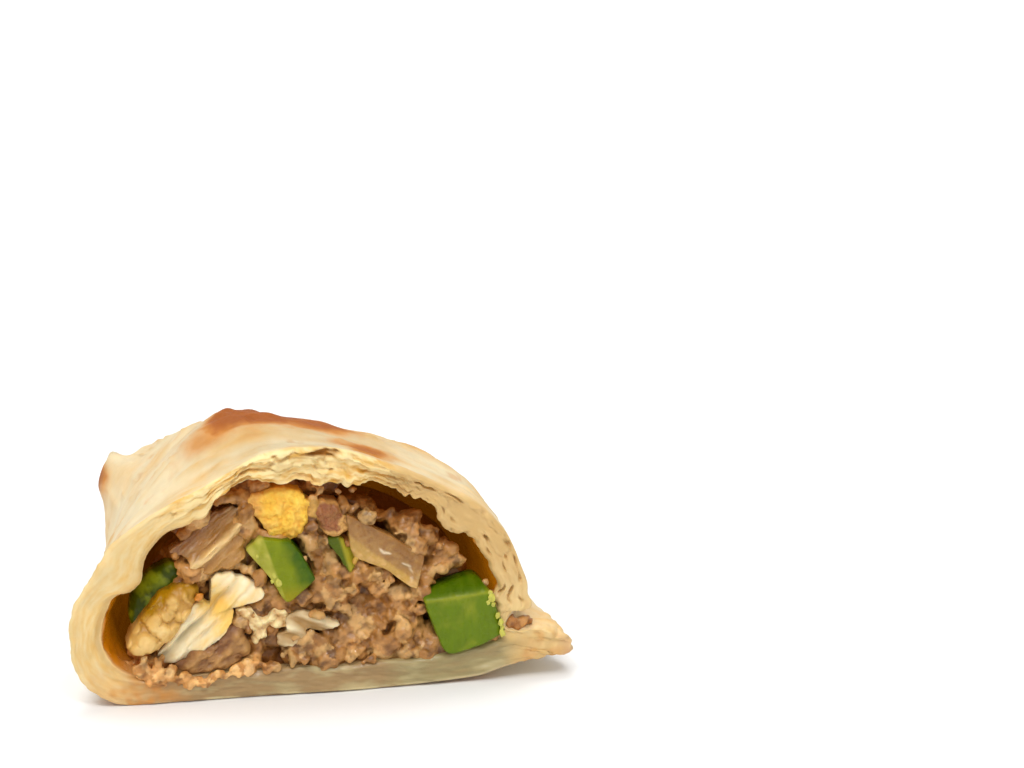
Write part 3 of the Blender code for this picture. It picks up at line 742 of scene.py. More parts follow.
# Bits in the beef with a place of their own: centre (x, depth, z), radii and tone
LOOSE_BITS = [
    ((9.4, 1, 27.6), (1.5, 1.2, 1.4), PALE_BIT), ((7.6, 1.8, 21), (0.5, 0.8, 1.3), YELLOW_BIT),
    ((1, 2.6, 28.8), (1.3, 1.2, 2.4), srgb(218, 166, 78)),
    ((-9.2, 2.6, 28.2), (1.6, 1.6, 2.8), srgb(204, 150, 82)),
    ((-5, 2.4, 24.6), (2.2, 1.2, 1), srgb(212, 160, 84)),
    ((-11.5, 3, 31.2), (3.6, 1.4, 0.8), srgb(206, 150, 60)), ((0.8, 3, 24.4), (1.2, 1, 0.8), PALE_BIT),
    ((-2.6, 0.4, 5.6), (0.5, 0.5, 1.4), PALE_BIT),
    ((-9.4, -0.3, 4.9), (0.7, 0.6, 1.2), srgb(222, 176, 116)),
    ((-21.2, -0.3, 5.4), (0.5, 0.5, 1.1), srgb(232, 186, 120)),
    ((-16.5, 0.9, 16.6), (0.8, 0.8, 0.8), srgb(226, 140, 30)),
    ((18.9, 4, 23.2), (2.2, 1.8, 1.6), srgb(198, 142, 78)),
    ((21.8, 4, 20.9), (2, 1.8, 1.5), srgb(186, 130, 70)),
    ((16.3, 4.6, 25.8), (2.2, 1.8, 1.5), srgb(176, 120, 62)),
    ((31.4, 1.3, 9.3), (1.2, 1, 1), srgb(186, 124, 62)),
    ((33.4, 1.6, 9.2), (1.2, 1, 0.9), srgb(200, 142, 78)),
    ((32.4, 1.1, 8.5), (0.9, 0.8, 0.7), srgb(176, 110, 48)),
    ((34.6, 2.2, 8.8), (0.8, 0.8, 0.6), srgb(190, 122, 58)),
    ((1.4, 0.4, 12.6), (1.3, 0.8, 0.6), PALE_BIT), ((6.4, 0.6, 16.4), (0.9, 0.6, 0.5), PALE_BIT),
]


# The empty rooms between the beef and the upper crust, (x, z), and how deep they are
GAPS = [
    ([(3, 33.2), (5.5, 32.3), (9.6, 30.4), (11.8, 28.6), (14.3, 27.7), (16.8, 26.6),
      (19.9, 24.5), (22.5, 21.9), (25.2, 18.4), (26.2, 16.6), (31, 15), (33, 24),
      (22, 34), (8, 37)], 15),
    ([(-27.5, 18.5), (-25.6, 20.5), (-25, 24), (-22, 28), (-18.4, 28.6), (-19.4, 25.6),
      (-20.2, 24.2), (-21.4, 22.6), (-20.6, 20.8), (-23, 20.6), (-25.4, 19.4)], 10),
]
# The places below the mouth where the beef lies on the rim, and where its crumbs are spilled
LEDGE = np.array([(-27, 5.4), (-27, 8), (0, 8), (10, 6), (8, 3.8), (4.8, 3), (1, 3.4), (-1, 5),
                  (-10, 4.8), (-16, 3.8), (-20, 4)])
SPILL = np.array([(-26.8, 5.2), (-25.5, 7.8), (-20, 6.5), (-9, 6.5), (-4, 4.6), (-10.1, 4.2),
                  (-16.4, 2.5), (-20.7, 2.7), (-24.7, 3.8)])
# How far the line of sight into the crust drops for each millimetre of depth
SIGHT_DROP = 0.27
# The front and the back layer of lumps: pitch and range of radii. Rows of lumps are closer than
# the lumps in a row, the back layer lies one step deeper, and lumps set back further are hidden.
BEEF_LAYERS = [(2.8, (1.1, 2.3)), (3, (1.9, 2.9))]
ROW_PITCH = 0.87
LAYER_STEP = 2.6
HIDDEN_LUMP = 5.5
HIDDEN_CRUMB = 4
# Crumbs: area, count, range of radii, whether they follow the hollows, and how far they spread
# in depth. None as the area stands for the whole mouth.
CRUMBS = [(SPILL, 110, (0.45, 0.85), 0, 0.1), (None, 250, (0.35, 0.8), 1, 0.9)]


def within(spots, outline):
    """Which spots (x, z) lie inside a closed outline."""
    result = np.zeros(len(spots), bool)
    for (ax, az), (bx, bz) in zip(outline, np.roll(outline, -1, axis=0)):
        crosses = (az > spots[:, 1]) != (bz > spots[:, 1])
        reach = ax + (spots[:, 1] - az) * (bx - ax) / (bz - az + 1e-12)
        result ^= crosses & (spots[:, 0] < reach)
    return result


def front_depth(x, z):
    """How far behind the cut the beef's front lies at (x, z)."""
    x, z = np.atleast_1d(x), np.atleast_1d(z)
    depth = np.full(x.shape, FRONT_DEPTH)
    for (cx, cz), (rx, rz), set_back in HOLLOWS:
        depth = depth + set_back * np.exp(-((x - cx) / rx) ** 2 - ((z - cz) / rz) ** 2)
    for outline, room in GAPS:
        inside = within(np.stack([x, z], -1), outline)
        depth = np.where(inside, np.maximum(depth, room), depth)
    return depth


def ball_mesh(level):
    """Points and triangles of a ball of radius 1."""
    solid = bmesh.new()
    bmesh.ops.create_icosphere(solid, subdivisions=level, radius=1.0)
    points = np.array([vert.co[:] for vert in solid.verts])
    faces = np.array([[vert.index for vert in face.verts] for face in solid.faces])
    solid.free()
    return points, faces


def beef_lumps():
    """Centre, radii and tone of every lump: a front layer, a back layer and the loose bits."""
    draw = np.random.default_rng(12)
    room = spline_outline(MOUTH_OUTLINE, 4)[0][:-1]
    covers = [spline_outline(item[-1], 4)[0][:-1] for item in MORSELS]
    middles = [cover.mean(axis=0) for cover in covers]
    lumps = []
    for layer, (pitch, sizes) in enumerate(BEEF_LAYERS):
        rows, columns = int(34 / (pitch * ROW_PITCH)), int(66 / pitch)
        spots = np.array([(-32 + (j + 0.5 * (i % 2)) * pitch, 2.4 + i * pitch * ROW_PITCH)
                          for i in range(rows) for j in range(columns)])
        spots = spots + draw.uniform(-0.4, 0.4, spots.shape) * pitch
        radius = draw.uniform(*sizes, len(spots))
        shape = draw.uniform(0.75, 1.35, (len(spots), 3))
        jitter = draw.uniform(-0.7, 1.5, len(spots))
        tones = draw.integers(0, len(BEEF_TONES), len(spots))
        keep = within(spots, room + outward(room) * -0.3)
        keep |= within(spots, LEDGE)
        for cover, middle in zip(covers, middles):
            keep &= ~within(spots, middle + (cover - middle) * (1 - 0.15 * layer))
        for i in np.flatnonzero(keep):
            x, z = spots[i]
            set_back = float(front_depth(x, z)[0])
            depth = set_back + radius[i] + jitter[i] + LAYER_STEP * layer
            seen = z + SIGHT_DROP * depth + 0.5 * radius[i]
            set_back = max(set_back, float(front_depth(x, seen)[0]))
            wall = carry_back(room, depth + radius[i])
            inside = within(spots[i:i + 1], wall + outward(wall) * (1.2 - radius[i]))[0]
            if set_back < HIDDEN_LUMP and (inside or z < 8):
                lumps.append(((x, depth, z), radius[i] * shape[i], BEEF_TONES[tones[i]]))
    for area, count, sizes, follows, spread in CRUMBS:
        area = room if area is None else area
        spots = draw.uniform(area.min(axis=0), area.max(axis=0), (count * 2, 2))
        keep = within(spots, area)
        for cover in covers:
            keep &= ~within(spots, cover)
        for x, z in spots[keep][:count]:
            radius = draw.uniform(*sizes)
            tone = CRUMB_TONES[int(draw.integers(0, 3))]
            set_back = float(front_depth(x, z)[0])
            depth = set_back * follows + draw.uniform(0, 1.6) * spread
            if set_back < HIDDEN_CRUMB:
                lumps.append(((x, depth, z), np.full(3, radius), tone))
    lumps += [(centre, np.array(radii), np.array(tone)) for centre, radii, tone in LOOSE_BITS]
    return lumps


def make_filling():
    """The minced beef: the solid's core, and lumps over its front, as one skin."""
    unit, faces = ball_mesh(4)
    lumps = beef_lumps()
    core = read_points(copy_of("filling", "beef_filling"))
    seen = np.stack([core[:, 0], core[:, 2] + SIGHT_DROP * core[:, 1]], -1)
    for outline, room in GAPS:
        inside = within(seen, outline)
        core[inside, 1] = np.maximum(core[inside, 1], room)
    thing = bpy.data.objects["beef_filling"]
    triangles = [[vert for vert in face.vertices] for face in thing.data.polygons]
    points = [core]
    start = len(core)
    for i, (centre, radii, tone) in enumerate(lumps):
        size = float(np.mean(radii))
        turned = unit @ np.array(Euler((i * 1.7, i * 2.3, i * 0.9)).to_matrix())
        bumps = noise(turned * size + np.array(centre) * 3.1, size * 0.9 + 0.3, 90)
        nubs = cell_distance(turned * size + np.array(centre), size * 0.75, 91)[0]
        swell = 1 + 0.3 * bumps + 0.34 * (0.45 - nubs)
        points.append(turned * swell[:, None] * radii + centre)
        triangles += (faces + start).tolist()
        start += len(unit)
    points = np.concatenate(points)
    mesh = bpy.data.meshes.new("beef_filling")
    mesh.from_pydata(in_frame(points).tolist(), [], triangles)
    swap_mesh(thing, mesh)
    remeshed(thing, FILLING_VOXEL, 2)
    thinned(thing, HIDDEN_DEPTH, HIDDEN_SHARE)

    spots, normals = read_points(thing), read_vectors(thing.data.vertex_normals, "vector")
    front = ease(-spots[:, 1], -14, -9)
    grains = cell_distance(spots, 0.95, 65)[0]
    along, across = spots[:, 0] * 0.8 + spots[:, 2] * 0.6, spots[:, 2] * 0.8 - spots[:, 0] * 0.6
    fibres = noises(np.stack([along, spots[:, 1], across], -1), (2.8, 1, 0.7), 68, 2)
    height = front * (0.2 * (0.45 - grains) + 0.24 * noises(spots, 2.1, 66, 3) + 0.2 * fibres)
    moved = in_frame(spots + normals * height[:, None])
    thing.data.vertices.foreach_set("co", moved.reshape(-1))
    thing.data.update()

    tree = KDTree(len(lumps))
    for i, (centre, radii, tone) in enumerate(lumps):
        tree.insert(centre, i)
    tree.balance()
    moved = spots + 0.5 * np.stack([noise(spots, 1.5, seed) for seed in (1, 2, 3)], -1)
    nearest = np.array([tree.find(spot)[1] for spot in moved.tolist()])
    colour = np.array([tone for _, _, tone in lumps])[nearest]
    colour = colour * (1 + 0.18 * noises(spots, 1.6, 67, 3) + 0.2 * noise(spots, 5.5, 69))[:, None]
    # Painted light and shade: raised grains are painted lighter and crevices darker
    colour = layered(colour, (BEEF_TONES[1], height * 2.2, 0.6), (BEEF_CREVICE_SHADE, -height * 3, 0.7))
    # Painted shade: beef set further back than the front is painted darker
    behind = spots[:, 1] - front_depth(spots[:, 0], spots[:, 2])
    colour = mix(colour, BEEF_SET_BACK_SHADE, 0.8 * ease(behind, 1.4, 4.4))
    spilled = ease(-spots[:, 2], -7.5, -5.5) * ease(-spots[:, 0], 4, 8)
    colour = colour * (BEEF_SHADE + SPILL_LIGHT * spilled)[:, None]
    paint(thing, "tint", np.clip(colour, 0, 1))
    return thing


def swap_mesh(thing, mesh):
    old = thing.data
    thing.data = mesh
    bpy.data.meshes.remove(old)


def read_vectors(source, key):
    flat = np.empty(len(source) * 3)
    source.foreach_get(key, flat)
    return flat.reshape(-1, 3)


def read_points(thing):
    return read_vectors(thing.data.vertices, "co") / MM - (0, CUT_SHIFT, 0)


def in_frame(points):
    """Points in millimetres from the cut, as metres in the frame."""
    return (np.asarray(points, float) + (0, CUT_SHIFT, 0)) * MM


def remeshed(thing, voxel, rounds):
    """Apply a voxel remesh and some rounds of smoothing to a mesh object."""
    change = thing.modifiers.new("remesh", "REMESH")
    change.mode = "VOXEL"
    change.voxel_size = voxel * MM
    soften = thing.modifiers.new("soften", "SMOOTH")
    soften.iterations = rounds
    apply_modifiers(thing)


def apply_modifiers(thing):
    bpy.context.view_layer.update()
    result = thing.evaluated_get(bpy.context.evaluated_depsgraph_get())
    mesh = bpy.data.meshes.new_from_object(result)
    thing.modifiers.clear()
    swap_mesh(thing, mesh)


def thinned(thing, hidden_depth, share):
    """Leave out triangles of the side that lies behind this depth, where nothing is seen."""
    group = thing.vertex_groups.new(name="hidden")
    behind = np.flatnonzero(read_points(thing)[:, 1] > hidden_depth)
    group.add(behind.tolist(), 1.0, "REPLACE")
    modifier = thing.modifiers.new("thin", "DECIMATE")
    modifier.ratio = share
    modifier.vertex_group = "hidden"
    apply_modifiers(thing)
    thing.vertex_groups.clear()


def copy_of(node, name):
    """A new object on a copy of a node's mesh, without its materials."""
    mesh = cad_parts[node].data.copy()
    mesh.materials.clear()
    return linked(name, mesh)


def finish_piece(thing, node, material):
    thing.data.materials.clear()
    thing.data.materials.append(material)
    thing.data.shade_smooth()
    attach(thing, "root")
    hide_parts(node)


# Morsels: the colours, then a function for each that gives how much deeper its face lies at
# (x, z) and the colour there. s runs from 0 at the middle to 1 at the rim.

GREEN = srgb(98, 120, 4)
GREEN_DEEP = srgb(62, 92, 0)
GREEN_MOTTLE_AND_HIGHLIGHT = srgb(160, 160, 44)
SEED = srgb(194, 188, 84)
YOLK = srgb(250, 200, 76)
YOLK_CREVICE_SHADE = srgb(230, 156, 36)
YOLK_TOP_LIGHT = srgb(255, 226, 112)
YOLK_DULL = srgb(226, 170, 92)
WHITE = srgb(244, 230, 194)
WHITE_WARM = srgb(238, 194, 100)
WHITE_FOLD_SHADE = srgb(200, 186, 148)
OLIVE_TAN = srgb(216, 172, 94)
OLIVE_LUMP_LIGHT = srgb(246, 214, 146)
OLIVE_CREASE_SHADE = srgb(172, 118, 36)
OLIVE_SKIN = srgb(166, 120, 6)
ONION = srgb(168, 124, 66)
ONION_PALE = srgb(206, 164, 98)
ONION_DEEP = srgb(146, 100, 46)
ONION_OLIVE = srgb(196, 154, 74)
ONION_GLINT = srgb(228, 208, 174)
CHUNK = srgb(152, 102, 56)
CHUNK_PINK = srgb(128, 84, 50)
CHUNK_TAN = srgb(206, 156, 88)
CHUNK_RED = srgb(150, 88, 52)


def line_side(x, z, start, end):
    """Distance of (x, z) from the line from start to end, positive on its right."""
    along = np.array(end, float) - start
    along /= np.linalg.norm(along)
    return (x - start[0]) * along[1] - (z - start[1]) * along[0]


def right_pepper(x, z, s):
    band = z - 14.3 - 0.11 * (x - 17.9)
    deeper = 1.5 * np.clip(band + 0.25, 0, 9) ** 1.15 + 0.018 * (x - 24) ** 2
    deeper = deeper + 0.3 * ease(x, 28, 30)
    spot = flat_spot(x, z)
    streaks = noises(spot, (0.8, 1, 5), 101, 2)
    blotch = noises(spot, 3.2, 102, 3)
    above = ease(band, -0.4, 0.5)
    # Pale mottling, the darker skin of the top band, and a painted highlight: a pale line along the top
    # band's edge
    tint = layered(GREEN, (GREEN_MOTTLE_AND_HIGHLIGHT, 0.1 + 0.45 * blotch - 0.2 * s, 0.55),
                   (GREEN_DEEP, 0.75 * above + 0.25 * streaks * above),
                   (GREEN_MOTTLE_AND_HIGHLIGHT, bell(band + 0.35, 0.28) * 0.55))
    return deeper + 0.1 * streaks + 0.14 * blotch, tint


def centre_pepper(x, z, s):
    strip = line_side(x, z, (-3.3, 15.2), (-6.6, 25.4))
    right = ease(strip, -0.25, 0.25)
    spot = flat_spot(x, z)
    blotch = noises(spot, 2.2, 104, 3)
    deeper = np.where(strip < 0, -strip * 0.55, 0.055 * (strip - 1.6) ** 2 - 0.15)
    tint = mix(srgb(150, 152, 40), srgb(186, 180, 78), 0.5 + 0.9 * blotch)
    skin = layered(srgb(122, 134, 6), (GREEN_DEEP, ease(strip, 1.4, 4.6) + 0.35 * blotch),
                   (srgb(146, 132, 6), ease(-z, -18.5, -15.5) * 0.8))
    return deeper + 0.12 * blotch, mix(tint, skin, right)


def left_pepper(x, z, s):
    strip = line_side(x, z, (-25.6, 11.6), (-19.6, 19.8))
    spot = flat_spot(x, z)
    blotch = noises(spot, 2, 105, 3)
    tint = mix(srgb(60, 74, 2), srgb(124, 136, 20), 0.3 + 1.2 * blotch)
    return 0.16 * strip ** 2 + 0.15 * blotch, tint


def small_pepper(x, z, s):
    strip = line_side(x, z, (6.4, 19), (5, 24))
    spot = flat_spot(x, z)
    blotch = noises(spot, 1.6, 106, 3)
    tint = layered(srgb(84, 98, 4), (srgb(168, 158, 44), ease(strip, -0.1, 0.5)),
                   (SEED, ease(strip, 1.2, 1.9) * 0.7))
    return np.abs(strip) * 0.5 + 0.1 * blotch, tint


def yolk_crumb(x, z, s):
    spot = flat_spot(x, z)
    warped = spot + 0.4 * np.stack([noise(spot, 1.2, seed) for seed in (1, 2, 3)], -1)
    big = cell_distance(warped, 2.4, 107)[0]
    small = cell_distance(warped, 0.95, 108)[0]
    fine = noises(spot, 0.6, 109, 2)
    height = 0.8 * (0.45 - big) + 0.5 * (0.45 - small) + 0.16 * fine
    # Painted light and shade: the raised crumbs are painted paler and the crevices deeper orange
    tint = layered(YOLK, (YOLK_TOP_LIGHT, height * 1.2), (YOLK_CREVICE_SHADE, -height * 1.3))
    dull = 0.75 * ease(-x, 4.2, 8.2) + 0.5 * noises(spot, 2.6, 110, 2)
    tint = mix(tint, YOLK_DULL, dull, 0.8)
    return -height, tint


def left_white(x, z, s):
    along, across, spot = turned_spot(x, z, (-15, 13), (0.72, 0.69), (0.69, -0.72))
    ridges = noises(spot, (7, 1, 1.7), 111, 2)
    fine = noises(spot, (2, 1, 0.7), 112, 3)
    curl = ease(across, 1, 3.4)
    groove = bell(across + 0.6 - 0.5 * ridges, 0.6)
    height = 0.75 * ridges + 0.14 * fine + 1.1 * curl - 0.7 * groove
    golden = bell(along - 2.2, 2.6)
    warm = golden * 0.85 + 0.15 + 0.3 * fine + 0.7 * curl * ease(-across, -3.4, -2)
    # Painted shade: grey in the low folds and the groove, on the lower part
    fold_shade = np.clip(-ridges * 0.9 + 0.5 * groove, 0, 0.8) * ease(-along, -2, 2)
    tint = layered(WHITE, (WHITE_WARM, warm), (WHITE_FOLD_SHADE, fold_shade))
    return -height, tint


def centre_white(x, z, s):
    spot = flat_spot(x, z + 0.25 * x)
    sheets = noises(spot, (5, 1, 2.2), 113, 3, 0.35)
    # Painted shade: the sheets are lighter where they stand forward and darker where they lie back
    tint = mix(srgb(176, 138, 84), srgb(244, 228, 186), 0.45 + 0.9 * sheets)
    return -0.7 * sheets, tint


def crumb_white(x, z, s):
    spot = flat_spot(x, z)
    spikes = cell_distance(spot, 1.7, 114)[0]
    fine = noises(spot, 0.9, 115, 3)
    height = 1.5 * (0.5 - spikes) + 0.3 * fine
    # Painted shade: lighter on the spikes, darker between them
    tint = mix(srgb(200, 150, 88), srgb(244, 220, 164), 0.55 + height)
    return -height, tint


def olive_flesh(x, z, s):
    along, across, _ = turned_spot(x, z, (-22, 12.9), (0.7, 0.71), (-0.71, 0.7))
    lumps = np.zeros(np.shape(x))
    for centre, off, size in ((-4.6, 0, 2.6), (-0.6, -0.6, 2.5), (3, -0.8, 2), (4.2, 1.2, 1.6)):
        near = ((along - centre) ** 2 + (across - off) ** 2) / size ** 2
        lumps = np.maximum(lumps, np.sqrt(np.clip(1 - near * 0.8, 0, 1)) * size * 0.62)
    spot = flat_spot(x, z)
    fine = noises(spot, 1.5, 116, 3)
    cells = cell_distance(spot, 1.9, 127)[0]
    creases = ease(cells, 0.45, 0.8)
    lumps = lumps - 0.75 * creases
    skin = ease(across + 0.5 * fine, 1.5, 2.3) * ease(along, -4, 0)
    skin = np.maximum(skin, ease(along, 4.6, 6) * 0.8)
    # Painted light and shade: the lumps are painted paler on top and darker in the creases
    tint = layered(OLIVE_TAN, (OLIVE_LUMP_LIGHT, 0.7 * (lumps - 1) + 0.3 * fine),
                   (OLIVE_CREASE_SHADE, np.clip(0.5 - lumps + creases * 0.6, 0, 1) * 0.8))
    return -lumps - 0.14 * fine, mix(tint, OLIVE_SKIN, skin)


def slab_onion(x, z, s):
    along, across, spot = turned_spot(x, z, (12, 21.3), (0.8, -0.6), (0.6, 0.8))
    wave = noises(spot, (7, 1, 3), 117, 2)
    fine = noises(spot, 1.1, 118, 3)
    height = 0.7 * wave + 0.14 * fine + 0.9 * ease(along, 4, 7)
    tint = mix(ONION, ONION_DEEP, 0.3 + 0.9 * wave + 0.5 * ease(across, 0, 3) + 0.9 * fine)
    rim = ease(-across + 0.5 * wave, 0.2, 0.9)
    tint = layered(tint, (ONION_OLIVE, rim * 0.85),
                   (ONION_PALE, ease(along, 5.4, 7) * 0.8 + 0.9 * rim * ease(fine, 0, 0.6)))
    wobble = across - 0.5 - 0.9 * noise(spot, 1.8, 125)
    streak = bell(wobble, 0.16) * ease(along, -2, -1)
    streak = streak * ease(noise(spot, 1.3, 126), -0.25, 0.1)
    height = height + 0.25 * streak
    tint = mix(tint, ONION_GLINT, streak * ease(-along, -5.5, -4.5), 0.85)
    return -height, tint


def fold_onion(x, z, s):
    _, across, spot = turned_spot(x, z, (-14.5, 24.2), (0.75, 0.66), (-0.66, 0.75))
    wave = noises(spot, (7, 1, 1.9), 119, 2)
    fine = noises(spot, (2.4, 1, 0.6), 120, 3)
    ridge = bell(across + 0.8 - 0.6 * wave, 0.7)
    height = 0.9 * wave + 1.1 * ridge + 0.2 * fine
    pink = np.clip(ease(across, 0.5, 3) + 0.5 * fine, 0, 1)
    tint = layered(srgb(164, 114, 54), (srgb(132, 88, 54), pink),
                   (srgb(238, 202, 138), ridge * 0.9 + 0.3 * fine),
                   (srgb(200, 148, 78), ease(-across, 1.6, 3.2) * 0.6))
    return -height, tint


def top_chunk(x, z, s):
    spot = flat_spot(x, z)
    lumps = cell_distance(spot, 2, 121)[0]
    fine = noises(spot, 0.9, 122, 3)
    height = 0.9 * (0.45 - lumps) + 0.25 * fine
    tint = mix(CHUNK_RED, CHUNK, 0.5 + 0.5 * fine)
    edge = ease((x - 4.2) * 0.6 - (z - 27.4) * 0.6 + fine, 0.6, 1.6)
    tint = mix(tint, CHUNK_TAN, edge + ease(s, 0.8, 1))
    return -height, tint


def left_chunk(x, z, s):
    _, across, spot = turned_spot(x, z, (-15, 7.5), (0.86, 0.5), (-0.5, 0.86))
    ridges = noises(spot, (2.6, 1, 1.5), 123, 3)
    nubs = cell_distance(spot, 1.8, 124)[0]
    height = 0.45 * ridges + 0.6 * (0.45 - nubs)
    # Painted light and shade: tan on the raised nubs and ridges, pink where the surface dips
    tint = mix(CHUNK_PINK, CHUNK_TAN, 0.28 + 0.9 * height - 0.25 * ease(across, 0, 2))
    return -height, tint


# Node, slot, look, surface, depth of the face, thickness, how far the rim of the face falls back,
# where that starts, raggedness (reach, spacing) and outline
MORSELS = [
    ("pepper_right", "pepper", "pepper", right_pepper, -1.3, 6.6, 0.5, 0.9, (0.1, 2.2), [
        (17.8, 14.2), (18.4, 15.2), (21.8, 16), (25.8, 16.9), (27.6, 15.6), (28.6, 14), (29.2, 12),
        (30.2, 9.4), (30.2, 7.9), (26, 6.3), (21.6, 5.4), (19.7, 8.6)]),
    ("olive", "olive", "moist", olive_flesh, 0.6, 6, 1.6, 0.45, (0.25, 2), [
        (-27.6, 8.8), (-26.7, 11.4), (-24.6, 14.2), (-22.2, 16.8), (-19.4, 18.3), (-16.9, 18),
        (-16.4, 16.2), (-17.8, 14), (-19.6, 11.4), (-22.2, 8.6), (-25.6, 7.5)]),
    ("pepper_centre", "pepper_pale", "pepper", centre_pepper, 0.1, 5.4, 0.4, 0.92, (0.05, 2.2), [
        (-9, 23.3), (-8.4, 24), (-7.2, 25.2), (-6.4, 25.3), (-2.9, 24.8), (-2.2, 24.3), (-0.6, 22),
        (1.1, 18.7), (1, 17.9), (-0.7, 16.6), (-2.5, 15.2), (-3.5, 15.2), (-5.1, 18), (-6.9, 20.4),
        (-8.7, 22.6)]),
    ("egg_white_left", "egg_white", "egg", left_white, 1.4, 2.6, 0.6, 0.75, (0.4, 1.5), [
        (-6.8, 16.2), (-7.8, 17.9), (-10.2, 19.1), (-11.7, 19.8), (-13.9, 19.6), (-14.4, 17.9),
        (-12.9, 17), (-13.3, 16), (-14.8, 15), (-16.2, 15.6), (-17.8, 14.8), (-19.2, 13.1),
        (-20.4, 11.2), (-21.8, 9), (-22.9, 6.6), (-21.8, 6), (-19.5, 6), (-17.6, 6.9), (-14.8, 8.6),
        (-12.7, 10.7), (-11.4, 12.9), (-11.2, 14.6), (-9.4, 14.9)]),
    ("egg_yolk", "yolk", "crumbly", yolk_crumb, 1.3, 6, 1, 0.5, (0.45, 1.6), [
        (-9, 31), (-5.4, 32.6), (-1.6, 32.4), (0.6, 30.6), (1.1, 27.8), (-0.2, 25.4), (-2.6, 24),
        (-4.9, 24.7), (-6.6, 27.2), (-8.6, 28.8)]),
    ("onion_slab", "onion", "wet", slab_onion, 0.9, 2.2, 0.3, 0.9, (0.1, 2.6), [
        (6.2, 27.9), (7, 27.9), (8.6, 27), (12.2, 24.9), (15.3, 22.8), (17.7, 21.3), (18.1, 20.7),
        (17.5, 18.2), (17, 16.2), (16.4, 16), (14.6, 17.1), (12.1, 19), (9.3, 20.2), (7.2, 21.5),
        (6.5, 25)]),
    ("beef_chunk_top", "chunk", "meat", top_chunk, 1.2, 5, 1.2, 0.5, (0.35, 1.4), [
        (1.2, 29), (2.6, 30.4), (4.4, 29.8), (6.2, 28), (7.2, 26.4), (5.8, 25), (4.2, 24.4),
        (2.4, 25.8)]),
    ("pepper_small", "pepper", "pepper", small_pepper, 1.6, 4, 0.4, 0.85, (0.1, 1.4), [
        (3.2, 24), (5.2, 24.4), (7, 22.6), (8.2, 20.8), (7, 18.6), (6, 19.6), (4.8, 21.6)]),
    ("egg_white_centre", "egg_white", "egg", centre_white, 0.9, 2.6, 0.5, 0.7, (0.35, 1.3), [
        (-3.4, 11.6), (-2.2, 13), (0.2, 12.8), (2.6, 11.9), (4.9, 10.5), (2.8, 9.7), (0.2, 9.9),
        (-0.8, 8.4), (-2.6, 7.5), (-4.6, 7.9), (-4.6, 9.4), (-3, 10.2)]),
    ("egg_white_crumb", "egg_white", "egg", crumb_white, 1, 3.4, 0.9, 0.45, (0.5, 1.3), [
        (-10.6, 13.4), (-9.2, 14.4), (-7.2, 12.9), (-4.8, 13.3), (-3.2, 13.2), (-2.4, 12), (-3.8, 10.4),
        (-5.6, 10.5), (-6.4, 9.3), (-8.2, 8.4), (-8.9, 10.6), (-9.9, 12)]),
    ("beef_chunk_left", "chunk", "meat", left_chunk, 0.2, 6, 1.4, 0.45, (0.75, 2), [
        (-20.4, 5.6), (-17.6, 7.6), (-14.2, 9.6), (-11.8, 11.6), (-9.8, 10.2), (-9.2, 7.6),
        (-10.8, 5.2), (-14.6, 4.4), (-18.4, 4.2)]),
    ("onion_fold", "onion", "wet", fold_onion, 2.2, 3.6, 0.7, 0.65, (0.4, 1.8), [
        (-20.6, 23.4), (-17, 26.2), (-14.6, 28.8), (-10.2, 30.2), (-8.8, 28), (-9.2, 24.8),
        (-9.4, 21.6), (-11.6, 20.2), (-15.2, 19.6), (-17.6, 20.8), (-18.2, 22.4)]),
    ("pepper_left", "pepper_dark", "pepper", left_pepper, 4.2, 4, 0.7, 0.75, (0.12, 2), [
        (-26.8, 12), (-26.4, 15.8), (-24, 19), (-20.4, 21), (-18.6, 19.4), (-20, 16.2), (-22.6, 13.4),
        (-24.8, 10.6)]),
]

# Seeds and pale bits that cling to the right pepper's edge and the middle pepper's strip:
# centre (x, depth, z) and radius
SEEDS = {
    "pepper_right": [((28, -0.9, 14.9), 0.4), ((28.2, -1, 14.1), 0.62),
                     ((27.7, -1.2, 13.4), 0.34), ((28.5, -0.9, 13), 0.36),
                     ((29.2, -0.9, 11.1), 0.42), ((29.7, -0.9, 9.9), 0.5),
                     ((29.9, -0.8, 9), 0.34), ((29.9, -0.8, 8.2), 0.55)],
    "pepper_centre": [((-5, 0.4, 19.4), 0.42), ((-4.4, 0.2, 18.3), 0.55),
                      ((-5.3, 0.6, 18.4), 0.3), ((-7.4, 1.1, 22.4), 0.3)],
}


# Columns and rows of a morsel's face, rows of its edge, shares of its back, and its side's shade
FACE_COLUMNS = 150
FACE_ROWS = 40
EDGE_ROWS = 5
BACK_SHARES = (1, 0.9, 0.7, 0.4, 0.1)
SIDE_SHADE = 0.8


